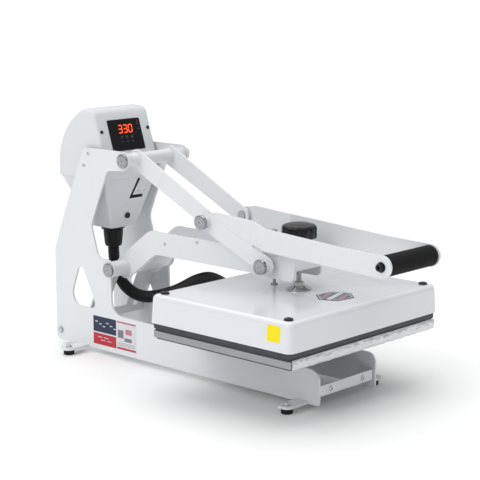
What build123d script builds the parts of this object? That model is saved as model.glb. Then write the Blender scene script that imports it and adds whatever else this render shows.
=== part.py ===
"""Clamshell heat press for garment and vinyl transfers, as separate pieces.

Millimetres, +Z up. The operator stands at -Y, the control box is at +Y, and +X is the operator's
right. Everything is drawn from the floor under the middle of the lower platen, and each piece is
saved moved forward by footprint_middle, so the origin is under the middle of the whole machine.
"""

from build123d import *
from math import cos, pi, radians, sin, tan
import os

# ---------------------------------------------------------------- driving sizes
footprint_middle = 190.0    # middle of the whole machine, behind the middle of the platen
platen_x = 500.0            # platen width
platen_y = 400.0            # platen depth
platen_bottom = 134.0       # underside of the lower platen
lower_platen_t = 15.5
pad_t = 3.5
pad_gap = 0.4               # heat plate to pad when closed
heater_t = 15.6
cover_x, cover_y = 515.0, 411.0
cover_top = 231.0
cover_draft = 4.0           # degrees

plate_outer = 100.0         # outer face of each side plate, from the middle
plate_t = 5.0
plate_inner = plate_outer - plate_t
foot_h = 13.0
foot_x = 149.6
foot_rows = (-105.0, 603.6)
foot_places = [(side * foot_x, row) for side in (-1, 1) for row in foot_rows]

link_pivot = (451.5, 486.5)     # A: upper link on the frame (Y, Z)
link_knee = (212.0, 366.4)      # B: upper link to the handle
arm_pivot = (507.0, 217.0)      # D: platen arm on the frame
handle_pivot = (31.3, 288.7)    # C: handle on the platen arm
grip_centre = (-302.0, 336.0)

pin_r = 10.0
run_gap = 0.05              # radial running clearance
arm_in, arm_out = 42.0, 48.0
link_in, link_out = 52.0, 58.0
toggle_in, toggle_out = 62.0, 70.0
handle_in, handle_out = 82.0, 88.0
head_r, head_t = 17.0, 6.0

screw_y = -8.5              # pressure screw, on the middle plane
screw_r = 6.0
hose_d = 30.0

platen_top = platen_bottom + lower_platen_t
pad_top = platen_top + pad_t
heater_bottom = pad_top + pad_gap
heater_top = heater_bottom + heater_t
rail_top = 100.0

clear = 0.05                # gap between pieces that only touch
rear_tie = (690.0, 38.0)        # tie bar places (Y, Z)
front_tie = (2.0, 57.0)
hopper_y = 600.0            # middle of the hopper's floor and of the gland
fittings_z = 449.0          # height of the mains inlet and the rocker switch
inlet_x, rocker_x = 36.0, -34.0
rocker_axis_y = 697.0
hood_rear_y = 700.0

os.makedirs("parts", exist_ok=True)


def save(builder, label):
    """Move a finished piece to the machine's origin, label it and write its STEP file."""
    builder.part.move(Location((0, -footprint_middle, 0)))
    builder.part.label = label
    export_step(builder.part, f"parts/{label}.step")
    print(f"{label}: {len(builder.part.solids())} solid(s)")


def side_plane(x):
    """The YZ plane at x, with local x along +Y, local y along +Z and the normal along +X."""
    return Plane.YZ.offset(x)


def mirrored_pair(lo, hi):
    """The two stretches of X that a mirrored pair of plates fills."""
    return ((-hi, -lo), (lo, hi))


def rod(y, z, radius, x0, x1):
    """Add a round bar along X to the part being built."""
    with BuildSketch(side_plane(x0)) as section:
        with Locations((y, z)):
            Circle(radius)
    extrude(section.sketch, amount=x1 - x0)


def bore(y, z, radius, x0, x1):
    """Cut a round hole along X through the part being built."""
    with BuildSketch(side_plane(x0)) as section:
        with Locations((y, z)):
            Circle(radius)
    extrude(section.sketch, amount=x1 - x0, mode=Mode.SUBTRACT)


def hull_bar(a, b, radius_a, radius_b, x0, x1):
    """Add a flat bar with round ends, from a to b in the YZ plane."""
    with BuildSketch(side_plane(x0)) as section:
        with Locations(a):
            Circle(radius_a)
        with Locations(b):
            Circle(radius_b)
        make_hull()
    extrude(section.sketch, amount=x1 - x0)


# ---------------------------------------------------------------- frame: side plates
tab_t = 5.0
tab_w = 36.0
rail_back_y = 706.0
rail_front_y = -152.0


def side_plate_outline():
    """Face of a side plate: rail, rear web, lower lobe, neck and upper lobe."""
    corners = [
        (446, 508), (592, 508), (619, 449), (668, 340), (706, 245), (rail_back_y, foot_h),
        (rail_front_y, foot_h), (rail_front_y, 90), (330, rail_top + 5), (500, 108),
        (502, 240), (546, 243), (570, 320), (509, 458), (446, 463),
    ]
    radii = [8, 16, 40, 60, 40, 14, 4, 24, 300, 34, 8, 22, 45, 16, 8]
    with BuildLine() as rim:
        FilletPolyline(*corners, radius=radii, close=True)
    make_face(rim.edges())
    with Locations(link_pivot):
        Circle(21)
    with Locations(arm_pivot):
        Circle(20)


def side_plate(x_in, x_out, sign):
    """One laser-cut side plate with its two bent foot tabs."""
    x_low = min(x_in, x_out)
    with BuildSketch(side_plane(x_low)) as face:
        side_plate_outline()
        with BuildLine() as window:
            FilletPolyline((612, 228), (552, 112), (656, 112), radius=[13, 13, 30], close=True)
        make_face(window.edges(), mode=Mode.SUBTRACT)
        with Locations(link_pivot, arm_pivot):
            Circle(pin_r + run_gap, mode=Mode.SUBTRACT)
        with Locations(rear_tie):
            Circle(4.2, mode=Mode.SUBTRACT)
    extrude(face.sketch, amount=plate_t)
    tab_reach = foot_x + tab_w / 2 - plate_inner
    for foot_y in foot_rows:
        with BuildSketch(Plane.XY.offset(foot_h)) as tab:
            with Locations((sign * (plate_inner + tab_reach / 2), foot_y)):
                Rectangle(tab_reach, tab_w)
            with Locations((sign * foot_x, foot_y)):
                Circle(3.2, mode=Mode.SUBTRACT)
        extrude(tab.sketch, amount=tab_t)
    outer = sign * (foot_x + tab_w / 2)
    fillet([e for e in edges().filter_by(Axis.Z) if abs(e.center().X - outer) < 0.1], radius=14)
    fold = edges().filter_by(Axis.Y)
    fold = [e for e in fold if abs(e.center().X - sign * plate_outer) < 0.1]
    fold = [e for e in fold if abs(e.center().Z - foot_h - tab_t) < 0.1]
    fillet(fold, radius=3)


with BuildPart() as side_plate_left:
    side_plate(-plate_inner, -plate_outer, -1)
save(side_plate_left, "side_plate_left")

with BuildPart() as side_plate_right:
    side_plate(plate_inner, plate_outer, 1)
save(side_plate_right, "side_plate_right")

# ---------------------------------------------------------------- frame: cross pieces
member_low, member_high = 31.0, 55.0
member_t = 4.0
member_x = 2 * plate_inner - 0.2
member_front, member_deep = -148.0, 36.0
member_screw_x = 55.0


def member_face(x, proud=0.0, outwards=-1):
    """Plane on the crossmember's front face at mid height, facing the operator or away."""
    middle = (member_low + member_high) / 2
    return Plane((x, member_front - proud, middle), x_dir=(1, 0, 0), z_dir=(0, outwards, 0))


with BuildPart() as front_crossmember:
    with BuildSketch(Plane.XY.offset(member_low)):
        with Locations((0, member_front + member_deep / 2)):
            Rectangle(member_x, member_deep)
        with Locations((0, member_front + member_deep / 2 + member_t)):
            Rectangle(member_x - 2 * member_t, member_deep, mode=Mode.SUBTRACT)
    extrude(amount=member_high - member_low)
    bends = [e for e in edges().filter_by(Axis.Z) if abs(e.center().Y - member_front) < 0.1]
    fillet(bends, radius=6)
    with Locations(member_face(0)):
        with Locations((-member_screw_x, 0), (member_screw_x, 0)):
            Hole(2.6, depth=member_t + 2)
save(front_crossmember, "front_crossmember")

with BuildPart() as crossmember_screws:
    for x in (-member_screw_x, member_screw_x):
        with BuildSketch(member_face(x, proud=clear)):
            Circle(6)
        extrude(amount=2.6)
        with BuildSketch(member_face(x, proud=clear, outwards=1)):
            Circle(2.5)
        extrude(amount=9)
        with BuildSketch(member_face(x, proud=clear + 2.6, outwards=1)):
            RegularPolygon(2.5, 6)
        extrude(amount=1.6, mode=Mode.SUBTRACT)
save(crossmember_screws, "crossmember_screws")

panel_half = plate_inner - 0.1
with BuildPart() as rear_cross_panel:
    with BuildSketch(side_plane(-panel_half)):
        Polygon((545, 190), (548, 191.4), (606, 71.4), (603, 70), align=None)
    extrude(amount=2 * panel_half)
    with BuildSketch(Plane.XZ.offset(-700)):
        with Locations((0, 190)):
            Rectangle(66, 190)
    extrude(amount=200, mode=Mode.SUBTRACT)
    with BuildSketch(Plane.XZ.offset(-700)):
        with Locations((-64, 98), (64, 98)):
            Circle(9)
    extrude(amount=200, mode=Mode.SUBTRACT)
save(rear_cross_panel, "rear_cross_panel")

with BuildPart() as tie_bars:
    rod(*rear_tie, 10, -panel_half, panel_half)
    rod(*front_tie, 11, -panel_half, panel_half)
    for x0 in (-panel_half, panel_half - 20):
        bore(*rear_tie, 4, x0, x0 + 20)
save(tie_bars, "tie_bars")

with BuildPart() as tie_bolts:
    for sign in (-1, 1):
        rod(*rear_tie, 3.9, sign * 78, sign * (plate_outer + clear))
        with BuildSketch(side_plane(sign * (plate_outer + clear))):
            with Locations(rear_tie):
                RegularPolygon(8.6, 6)
        extrude(amount=sign * 5.5)
save(tie_bolts, "tie_bolts")

rivet_h = 2.0
with BuildPart() as frame_rivets:
    for sign in (-1, 1):
        for place in ((575, 494), (591, 464)):
            with BuildSketch(side_plane(sign * (plate_outer + clear))):
                with Locations(place):
                    Circle(4.5)
            extrude(amount=sign * rivet_h)
    crowns = [e for e in edges() if abs(abs(e.center().X) - plate_outer - clear - rivet_h) < 0.01]
    fillet(crowns, radius=1.2)
save(frame_rivets, "frame_rivets")

# ---------------------------------------------------------------- feet
with BuildPart() as rubber_feet:
    with BuildSketch(Plane.XY):
        with Locations(*foot_places):
            Circle(12.9)
    extrude(amount=foot_h - clear, taper=-2.6)
    with BuildSketch(Plane.XY.offset(foot_h)):
        with Locations(*foot_places):
            Circle(2.9)
    extrude(amount=-9, mode=Mode.SUBTRACT)
save(rubber_feet, "rubber_feet")

with BuildPart() as foot_screws:
    with BuildSketch(Plane.XY.offset(foot_h + tab_t + clear)):
        with Locations(*foot_places):
            RegularPolygon(7.2, 6)
    extrude(amount=5)
    with BuildSketch(Plane.XY.offset(foot_h + tab_t + clear)):
        with Locations(*foot_places):
            Circle(2.8)
    extrude(amount=-12)
save(foot_screws, "foot_screws")

# ---------------------------------------------------------------- lower platen
channel_w, channel_t = 60.0, 3.0
with BuildPart() as platen_channels:
    for y in (-95, 95):
        with BuildSketch(Plane.XZ.offset(-y + channel_w / 2 - channel_w)):
            with Locations((0, (109 + platen_bottom - 4) / 2)):
                Rectangle(300, platen_bottom - 4 - 109)
                Rectangle(300 - 2 * channel_t, platen_bottom - 4 - 109 - 2 * channel_t,
                          mode=Mode.SUBTRACT)
        extrude(amount=channel_w)
    with BuildSketch(Plane.XY.offset(108.9)):
        with Locations((-76, -95), (76, -95), (-76, 95), (76, 95)):
            Rectangle(36, 30)
    extrude(amount=-12)
save(platen_channels, "platen_channels")

with BuildPart() as platen_tray:
    with BuildSketch(Plane.XY.offset(platen_bottom - 4)):
        RectangleRounded(platen_x - 8, platen_y - 8, 6)
    extrude(amount=3.95)
save(platen_tray, "platen_tray")

with BuildPart() as lower_platen:
    with BuildSketch(Plane.XY.offset(platen_bottom)):
        RectangleRounded(platen_x, platen_y, 5)
    extrude(amount=lower_platen_t)
    chamfer(faces().sort_by(Axis.Z)[-1].edges(), length=0.8)
save(lower_platen, "lower_platen")

with BuildPart() as platen_pad:
    with BuildSketch(Plane.XY.offset(platen_top + 0.02)):
        RectangleRounded(platen_x - 6, platen_y - 6, 5)
    extrude(amount=pad_t - 0.02)
save(platen_pad, "platen_pad")

# ---------------------------------------------------------------- frame pivots
for name, place in (("link_pivot_pin", link_pivot), ("arm_pivot_pin", arm_pivot)):
    with BuildPart() as pivot_pin:
        rod(*place, pin_r, -plate_outer - 0.05, plate_outer + 0.05)
        for sign in (-1, 1):
            rod(*place, head_r, sign * (plate_outer + 0.05), sign * (plate_outer + 0.05 + head_t))
        rims = [e for e in edges() if abs(abs(e.center().X) - plate_outer - 0.05 - head_t) < 0.01]
        chamfer(rims, length=1.2)
    save(pivot_pin, name)

# ---------------------------------------------------------------- control box
hood_half = 88.0
hood_wall = 2.0
seam_z = 430.0
seam_front, seam_back = 526.0, hood_rear_y
display_low, display_high = (533.0, 488.0), (563.5, 582.0)
slope = Vector(0, display_high[0] - display_low[0], display_high[1] - display_low[1]).normalized()
slope_out = Vector(0, -slope.Z, slope.Y)
display_along = 48.0        # middle of the display, up the slope


def hood_outline():
    """Side view of the hood: display slope in front, curved back."""
    with BuildLine() as rim:
        front = Polyline((seam_front, seam_z), display_low, display_high)
        nose = TangentArc(display_high, (583, 598), tangent=(slope.Y, slope.Z))
        crown = Line(nose @ 1, (606, 599))
        back = ThreePointArc(crown @ 1, (668, 551), (hood_rear_y, 466))
        drop = Line(back @ 1, (seam_back, seam_z))
        Line(drop @ 1, front @ 0)
    make_face(rim.edges())


def on_slope(along, x=0.0, proud=0.0):
    """Plane on the display slope, `along` mm up it, facing the operator."""
    origin = Vector(x, *display_low) + slope * along + slope_out * proud
    return Plane(origin, x_dir=(1, 0, 0), z_dir=slope_out)


with BuildPart() as control_hood:
    with BuildSketch(side_plane(-hood_half)):
        hood_outline()
    extrude(amount=2 * hood_half)
    sides = [e for e in edges() if abs(abs(e.center().X) - hood_half) < 0.1]
    sides = [e for e in sides if e.center().Z > seam_z + 1]
    fillet(sides, radius=7)
    offset(amount=-hood_wall, openings=faces().sort_by(Axis.Z)[0])
    with BuildSketch(on_slope(display_along, proud=1)):
        RectangleRounded(92, 64, 4)
    extrude(amount=-6, mode=Mode.SUBTRACT)
    with BuildSketch(Plane.XZ.offset(-hood_rear_y - 20)):
        with Locations((rocker_x, fittings_z)):
            Rectangle(28, 21)
        with Locations((inlet_x, fittings_z)):
            Rectangle(27, 13)
    extrude(amount=40, mode=Mode.SUBTRACT)
save(control_hood, "control_hood")

with BuildPart() as display_panel:
    with BuildSketch(on_slope(display_along, proud=clear)):
        RectangleRounded(106, 78, 6)
    extrude(amount=1.6)
    with BuildSketch(on_slope(display_along, proud=clear)):
        RectangleRounded(91, 63, 4)
    extrude(amount=-5)
save(display_panel, "display_panel")

with BuildPart() as hood_screws:
    for x in (-76, 76):
        with BuildSketch(on_slope(60, x=x, proud=0.03)):
            Circle(4.6)
        extrude(amount=2.2)
    fillet([e for e in edges().filter_by(GeomType.CIRCLE) if e.center().Y < 553.2], radius=0.9)
save(hood_screws, "hood_screws")

with BuildPart() as controller_board:
    with BuildSketch(Plane.XZ.offset(-600)):
        with Locations((0, 500)):
            Rectangle(140, 90)
    extrude(amount=2)
    with BuildSketch(Plane.XZ.offset(-598)):
        with Locations((-40, 510)):
            Rectangle(34, 40)
        with Locations((35, 480)):
            Rectangle(26, 24)
        with Locations((30, 520)):
            Circle(11)
    extrude(amount=22)
save(controller_board, "controller_board")

hopper_low = 304.0
plug_place = (4.0, 333.0)
with BuildPart() as control_hopper:
    with BuildSketch(Plane.XY.offset(hopper_low)):
        with Locations((0, hopper_y)):
            RectangleRounded(82, 80, 8)
    with BuildSketch(Plane.XY.offset(seam_z - 0.6)):
        with Locations((0, (seam_front + 2 + 696) / 2)):
            RectangleRounded(172, 696 - seam_front - 2, 10)
    loft()
    offset(amount=-2, openings=faces().sort_by(Axis.Z)[-1])
    with BuildSketch(Plane.XY.offset(hopper_low - 1)):
        with Locations((0, hopper_y)):
            Circle(14)
    extrude(amount=6, mode=Mode.SUBTRACT)
    with BuildSketch(Plane.XZ.offset(-500)):
        with BuildLine():
            Polyline((1, 376), (46, 376), (46, 384), (12, 384), (30, 426), (20, 426), close=True)
        make_face()
        with Locations(plug_place):
            Circle(7.6)
    extrude(amount=-70, mode=Mode.SUBTRACT)
save(control_hopper, "control_hopper")

with BuildPart() as hopper_plug:
    with BuildSketch(Plane.XZ.offset(-548.5)):
        with Locations(plug_place):
            Circle(7.4)
    extrude(amount=-12)
save(hopper_plug, "hopper_plug")

with BuildPart() as mains_inlet:
    with BuildSketch(Plane.XZ.offset(-hood_rear_y - clear)):
        with Locations((inlet_x, fittings_z)):
            RectangleRounded(36, 24, 3)
    extrude(amount=-3)
    with BuildSketch(Plane.XZ.offset(-hood_rear_y - clear)):
        with Locations((inlet_x, fittings_z)):
            Rectangle(26.6, 12.6)
    extrude(amount=24)
    with BuildSketch(Plane.XZ.offset(-hood_rear_y - clear - 3)):
        with Locations((inlet_x, fittings_z)):
            Rectangle(22, 9)
    extrude(amount=22, mode=Mode.SUBTRACT)
    with BuildSketch(Plane.XZ.offset(-hood_rear_y + 18.8)):
        with Locations(*[(inlet_x + dx, fittings_z + dz) for dx, dz in ((-7, -1), (0, 1), (7, -1))]):
            Rectangle(2, 3)
    extrude(amount=-16)
save(mains_inlet, "mains_inlet")

bezel_x, bezel_z = 24.0, 17.2   # opening that the rocker sits in
with BuildPart() as rocker_bezel:
    with BuildSketch(Plane.XZ.offset(-hood_rear_y - clear)):
        with Locations((rocker_x, fittings_z)):
            RectangleRounded(35, 28, 3)
            Rectangle(bezel_x, bezel_z, mode=Mode.SUBTRACT)
    extrude(amount=-2)
    with BuildSketch(Plane.XZ.offset(-hood_rear_y - clear)):
        with Locations((rocker_x, fittings_z)):
            Rectangle(bezel_x + 3.6, bezel_z + 3.4)
            Rectangle(bezel_x, bezel_z, mode=Mode.SUBTRACT)
    extrude(amount=16)
save(rocker_bezel, "rocker_bezel")

rocker_half = bezel_z / 2 - 0.4
with BuildPart() as power_rocker:
    with BuildSketch(Plane.XY.offset(fittings_z - rocker_half)):
        with Locations((rocker_x, rocker_axis_y)):
            Polygon((-10.2, 3.9), (0, 4.4), (10.2, 7), (7, -5), (-7, -5), align=None)
    extrude(amount=2 * rocker_half)
    with BuildSketch(Plane.XY.offset(fittings_z - rocker_half - 0.3)):
        with Locations((rocker_x, rocker_axis_y)):
            Circle(2)
    extrude(amount=2 * rocker_half + 0.6)
save(power_rocker, "power_rocker")

gland_low = 252.0
with BuildPart() as cable_gland:
    with BuildSketch(Plane.XY.offset(hopper_low - 0.05)):
        with Locations((0, hopper_y)):
            RegularPolygon(30, 6)
    extrude(amount=-9)
    with BuildSketch(Plane.XY.offset(hopper_low - 9.05)):
        with Locations((0, hopper_y)):
            Circle(25)
    extrude(amount=-(hopper_low - 9.05 - gland_low), taper=5)
    with BuildSketch(Plane.XY.offset(hopper_low - 0.05)):
        with Locations((0, hopper_y)):
            Circle(13.9)
    extrude(amount=10)
    with BuildSketch(Plane.XY.offset(gland_low + 1)):
        with Locations((0, hopper_y)):
            Circle(11)
    extrude(amount=70, mode=Mode.SUBTRACT)
save(cable_gland, "cable_gland")

# ---------------------------------------------------------------- platen arm
arm_low, arm_high = 262.0, 318.0
bracket_front, bracket_low, bracket_high = -35.0, 258.0, 315.0
elbow_high = (419.5, arm_high)
elbow_low = (400.0, arm_low)


def arm_outline():
    """Side view of an arm plate: rear lobe, elbow, straight beam and bracket nose."""
    with BuildLine() as rim:
        FilletPolyline(
            (523.8, 239.4), elbow_high, (bracket_front, bracket_high), (bracket_front, bracket_low),
            (40, bracket_low), (90, arm_low), elbow_low, (490.2, 194.6),
            radius=[0.5, 34, 5, 14, 30, 30, 26, 0.5], close=True)
    make_face(rim.edges())
    with Locations(arm_pivot):
        Circle(28)


with BuildPart() as platen_arm:
    for x0, x1 in mirrored_pair(arm_in, arm_out):
        with BuildSketch(side_plane(x0)):
            arm_outline()
        extrude(amount=x1 - x0)
    rod(*arm_pivot, 19, -plate_inner + 0.8, plate_inner - 0.8)
    with BuildSketch(side_plane(-arm_in)):
        with Locations(((elbow_low[0] + 470) / 2, 236)):
            Rectangle(5, 82, rotation=52.5)
        with Locations((330, arm_low + 2.5)):
            Rectangle(130, 5)
    extrude(amount=2 * arm_in)
    bore(*arm_pivot, pin_r + run_gap, -plate_outer, plate_outer)
    bore(*handle_pivot, 8.05, -arm_out - 1, arm_out + 1)
save(platen_arm, "platen_arm")

guide_y, guide_r = 64.0, 3.6
bar_low, bar_high = 296.0, 306.0
nose_low = 281.0              # lower edge of the bracket's front plate
with BuildPart() as screw_bracket:
    with BuildSketch(Plane.XY.offset(nose_low)):
        with Locations((0, bracket_front + 2.6)):
            Rectangle(2 * arm_in - 0.1, 5)
    extrude(amount=bracket_high - 1 - nose_low)
    with BuildSketch(Plane.XY.offset(bar_low)):
        with Locations((0, -6)):
            Rectangle(2 * arm_in - 0.1, 54)
    extrude(amount=bar_high - bar_low)
    with BuildSketch(Plane.XY.offset(nose_low + 2)):
        with Locations((0, screw_y)):
            Circle(13)
    extrude(amount=39)
    with BuildSketch(Plane.XY.offset(260)):
        with Locations((0, screw_y)):
            Circle(screw_r + run_gap)
    extrude(amount=70, mode=Mode.SUBTRACT)
save(screw_bracket, "screw_bracket")

with BuildPart() as guide_bar:
    with BuildSketch(Plane.XY.offset(bar_low)):
        with Locations((0, guide_y)):
            Rectangle(2 * arm_in - 0.1, 24)
            Circle(guide_r + run_gap, mode=Mode.SUBTRACT)
    extrude(amount=bar_high - bar_low)
save(guide_bar, "guide_bar")

collar_r = 15.0
with BuildPart() as handle_pivot_pin:
    rod(*handle_pivot, 8, -toggle_out - 20.2, toggle_out + 20.2)
    for sign in (-1, 1):
        rod(*handle_pivot, 13, sign * (arm_out + 0.05), sign * (toggle_in - 0.3))
        rod(*handle_pivot, collar_r, sign * (toggle_out + 0.3), sign * (toggle_out + 10.3))
        rod(*handle_pivot, head_r, sign * (toggle_out + 10.3), sign * (toggle_out + 20.3))
    rims = [e for e in edges() if abs(abs(e.center().X) - toggle_out - 20.3) < 0.01]
    chamfer(rims, length=1.2)
save(handle_pivot_pin, "handle_pivot_pin")

with BuildPart() as arm_set_screws:
    for sign in (-1, 1):
        for place in ((367, 291), (261, 309)):
            with BuildSketch(side_plane(sign * (arm_out + 0.03))):
                with Locations(place):
                    Circle(4)
                    RegularPolygon(2, 6, mode=Mode.SUBTRACT)
            extrude(amount=sign * 1.4)
save(arm_set_screws, "arm_set_screws")

# ---------------------------------------------------------------- heat head
with BuildPart() as heat_plate:
    with BuildSketch(Plane.XY.offset(heater_bottom)):
        RectangleRounded(platen_x, platen_y, 6)
    extrude(amount=heater_t)
    chamfer(faces().sort_by(Axis.Z)[0].edges(), length=1)
save(heat_plate, "heat_plate")

cover_bottom = heater_top - 2.0
slot_low, slot_high = 183.0, 218.0
with BuildPart() as head_cover:
    with BuildSketch(Plane.XY.offset(cover_bottom)):
        RectangleRounded(cover_x, cover_y, 16)
    extrude(amount=cover_top - cover_bottom, taper=cover_draft)
    fillet(faces().sort_by(Axis.Z)[-1].edges(), radius=12)
    offset(amount=-2, openings=faces().sort_by(Axis.Z)[0])
    with BuildSketch(Plane.XZ.offset(-230)):
        with Locations((0, (slot_low + slot_high) / 2)):
            SlotCenterToCenter(slot_high - slot_low - 34, 34, rotation=90)
    extrude(amount=50, mode=Mode.SUBTRACT)
    with BuildSketch(Plane.XY.offset(cover_top + 1)):
        with Locations((0, screw_y)):
            Circle(9)
    extrude(amount=-10, mode=Mode.SUBTRACT)
save(head_cover, "head_cover")

button_grid = (464.0, 358.0)
with BuildPart() as corner_buttons:
    with BuildSketch(Plane.XY.offset(cover_top + 0.05)):
        with GridLocations(*button_grid, 2, 2):
            Circle(10)
    extrude(amount=5)
    fillet(faces().sort_by(Axis.Z)[-4:].edges(), radius=1.5)
    with BuildSketch(Plane.XY.offset(cover_top + 5.05)):
        with GridLocations(*button_grid, 2, 2):
            RegularPolygon(4, 6)
    extrude(amount=-3, mode=Mode.SUBTRACT)
save(corner_buttons, "corner_buttons")

with BuildPart() as heating_element:
    with BuildSketch(Plane.XY.offset(heater_top + 0.05)):
        for i in range(6):
            with Locations((0, -150 + 60 * i)):
                Rectangle(440, 9)
        for i in range(5):
            side = 215.5 if i % 2 else -215.5
            with Locations((side, -120 + 60 * i)):
                Rectangle(9, 69)
    extrude(amount=9)
save(heating_element, "heating_element")

with BuildPart() as thrust_cup:
    with BuildSketch(Plane.XY.offset(cover_top + 0.05)):
        with Locations((0, screw_y)):
            Circle(29)
    extrude(amount=4)
    with BuildSketch(Plane.XY.offset(cover_top + 4.05)):
        with Locations((0, screw_y)):
            Circle(18)
    extrude(amount=5, taper=45)
    with BuildSketch(Plane.XY.offset(cover_top + 9.05)):
        with Locations((0, screw_y)):
            RegularPolygon(12, 6)
    extrude(amount=9)
    with BuildSketch(Plane.XY.offset(cover_top + 2)):
        with Locations((0, screw_y)):
            Circle(screw_r + run_gap)
    extrude(amount=30, mode=Mode.SUBTRACT)
save(thrust_cup, "thrust_cup")

guide_top = 358.0
with BuildPart() as guide_bolt:
    for low, high, radius in ((0.05, 4, 8), (4, guide_top - cover_top - 3, guide_r),
                              (guide_top - cover_top - 6, guide_top - cover_top, 7)):
        with BuildSketch(Plane.XY.offset(cover_top + low)):
            with Locations((0, guide_y)):
                Circle(radius)
        extrude(amount=high - low)
save(guide_bolt, "guide_bolt")

# ---------------------------------------------------------------- pressure knob
knob_low, knob_high, knob_r = 348.0, 382.0, 40.0
lobes, hub_low = 12, 332.0
with BuildPart() as pressure_knob:
    with BuildSketch(Plane.XY.offset(knob_low)):
        with Locations((0, screw_y)):
            Circle(knob_r)
    extrude(amount=knob_high - knob_low)
    fillet(faces().sort_by(Axis.Z)[-1].edges(), radius=12)
    fillet(faces().sort_by(Axis.Z)[0].edges(), radius=3)
    with BuildSketch(Plane.XY.offset(knob_low - 1)):
        with Locations((0, screw_y)):
            with PolarLocations(knob_r + 4.5, lobes):
                Circle(7)
    extrude(amount=knob_high - knob_low - 8, mode=Mode.SUBTRACT)
    with BuildSketch(Plane.XY.offset(hub_low)):
        with Locations((0, screw_y)):
            Circle(14)
    extrude(amount=knob_low - hub_low + 1)
    with BuildSketch(Plane.XY.offset(hub_low)):
        with Locations((0, screw_y)):
            Circle(screw_r)
    extrude(amount=24, mode=Mode.SUBTRACT)
save(pressure_knob, "pressure_knob")

with BuildPart() as pressure_screw:
    with BuildSketch(Plane.XY.offset(cover_top + 2.2)):
        with Locations((0, screw_y)):
            Circle(screw_r)
    extrude(amount=hub_low + 23 - cover_top - 2.2)
    chamfer(edges().sort_by(Axis.Z)[0], length=1)
save(pressure_screw, "pressure_screw")

# ---------------------------------------------------------------- upper link
with BuildPart() as upper_link:
    for x0, x1 in mirrored_pair(link_in, link_out):
        hull_bar(link_pivot, link_knee, 24, 20, x0, x1)
    rod(*link_pivot, 16, -plate_inner + 0.8, plate_inner - 0.8)
    bore(*link_pivot, pin_r + run_gap, -plate_outer, plate_outer)
save(upper_link, "upper_link")

with BuildPart() as knee_bushes:
    for sign in (-1, 1):
        rod(*link_knee, 12, sign * (link_out + 0.05), sign * (toggle_in - 0.3))
        rod(*link_knee, 11, sign * (link_in - 0.05), sign * (link_in - 2.5))
save(knee_bushes, "knee_bushes")

# ---------------------------------------------------------------- handle


def lever_rear_outline():
    """Rear stretch of a lever: over the toggle plate, up to where it steps outwards."""
    with BuildLine() as rim:
        FilletPolyline((70, 384), (182, 391), (214, 384), (230, 360), (60, 300), (70, 330),
                       radius=[1, 60, 14, 14, 4, 4], close=True)
    make_face(rim.edges())


def lever_front_outline():
    """Front stretch of a lever, from the step to the grip."""
    with BuildLine() as rim:
        FilletPolyline((20, 376), (-190, 363), (-302, 360), (-302, 312), (-192, 317), (20, 326),
                       radius=[1, 300, 1, 1, 300, 1], close=True)
    make_face(rim.edges())
    with Locations(grip_centre):
        Circle(24)


with BuildPart() as handle_frame:
    for sign in (-1, 1):
        inner, outer = sign * toggle_in, sign * (toggle_out - 2)
        hull_bar(link_knee, handle_pivot, 20, 20, inner, sign * toggle_out)
        with BuildSketch(side_plane(inner)):
            lever_rear_outline()
        extrude(amount=outer - inner)
        with BuildSketch(side_plane(sign * handle_in)):
            lever_front_outline()
        extrude(amount=sign * 6)
        with BuildSketch(Plane.XY.offset(0)):
            Polygon((inner, 71), (outer, 71), (sign * handle_out, 19), (sign * handle_in, 19),
                    align=None)
        step = extrude(amount=500, mode=Mode.PRIVATE)
        with BuildSketch(side_plane(sign * 50)):
            Polygon((19, 376), (71, 384.1), (71, 332), (19, 326), align=None)
        band = extrude(amount=sign * 50, mode=Mode.PRIVATE)
        add(step & band)
    bore(*handle_pivot, 8.05, -90, 90)
    bore(*grip_centre, 4.1, -90, 90)
save(handle_frame, "handle_frame")

with BuildPart() as foam_grip:
    rod(*grip_centre, 23, -handle_in + 0.1, handle_in - 0.1)
    ends = [e for e in edges() if abs(abs(e.center().X) - handle_in + 0.1) < 0.01]
    fillet(ends, radius=3)
    bore(*grip_centre, 8.05, -handle_in, handle_in)
save(foam_grip, "foam_grip")

with BuildPart() as grip_bar:
    rod(*grip_centre, 8, -handle_in + 0.05, handle_in - 0.05)
save(grip_bar, "grip_bar")

with BuildPart() as grip_bolts:
    for sign in (-1, 1):
        rod(*grip_centre, 4, sign * (handle_in + 0.05), sign * (handle_out + 0.05))
        rod(*grip_centre, 11, sign * (handle_out + 0.05), sign * (handle_out + 3))
        rod(*grip_centre, 8, sign * (handle_out + 3), sign * (handle_out + 10))
        with BuildSketch(side_plane(sign * (handle_out + 10))):
            with Locations(grip_centre):
                RegularPolygon(4.4, 6)
        extrude(amount=-sign * 5, mode=Mode.SUBTRACT)
save(grip_bolts, "grip_bolts")

with BuildPart() as knee_pins:
    for sign in (-1, 1):
        rod(*link_knee, collar_r, sign * (toggle_out + 0.05), sign * (toggle_out + 10.3))
        rod(*link_knee, head_r, sign * (toggle_out + 10.3), sign * (toggle_out + 20.3))
    rims = [e for e in edges() if abs(abs(e.center().X) - toggle_out - 20.3) < 0.01]
    chamfer(rims, length=1.2)
save(knee_pins, "knee_pins")

# ---------------------------------------------------------------- cable hose
hose_route = [
    (hopper_y, gland_low), (600, 212), (580, 170), (543, 143), (494, 135),
    (435, 148), (369, 172), (306, 208), (250, 222), (198, 199.5),
]


def route_radii(route):
    """Fillet radius at each inner point: 0.45 of the shorter run over tan(half the turn)."""
    radii = []
    for before, here, after in zip(route, route[1:], route[2:]):
        run_in = Vector(*here) - Vector(*before)
        run_out = Vector(*after) - Vector(*here)
        half_turn = radians(run_in.get_angle(run_out)) / 2
        radii.append(0.45 * min(run_in.length, run_out.length) / tan(half_turn))
    return radii


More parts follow.
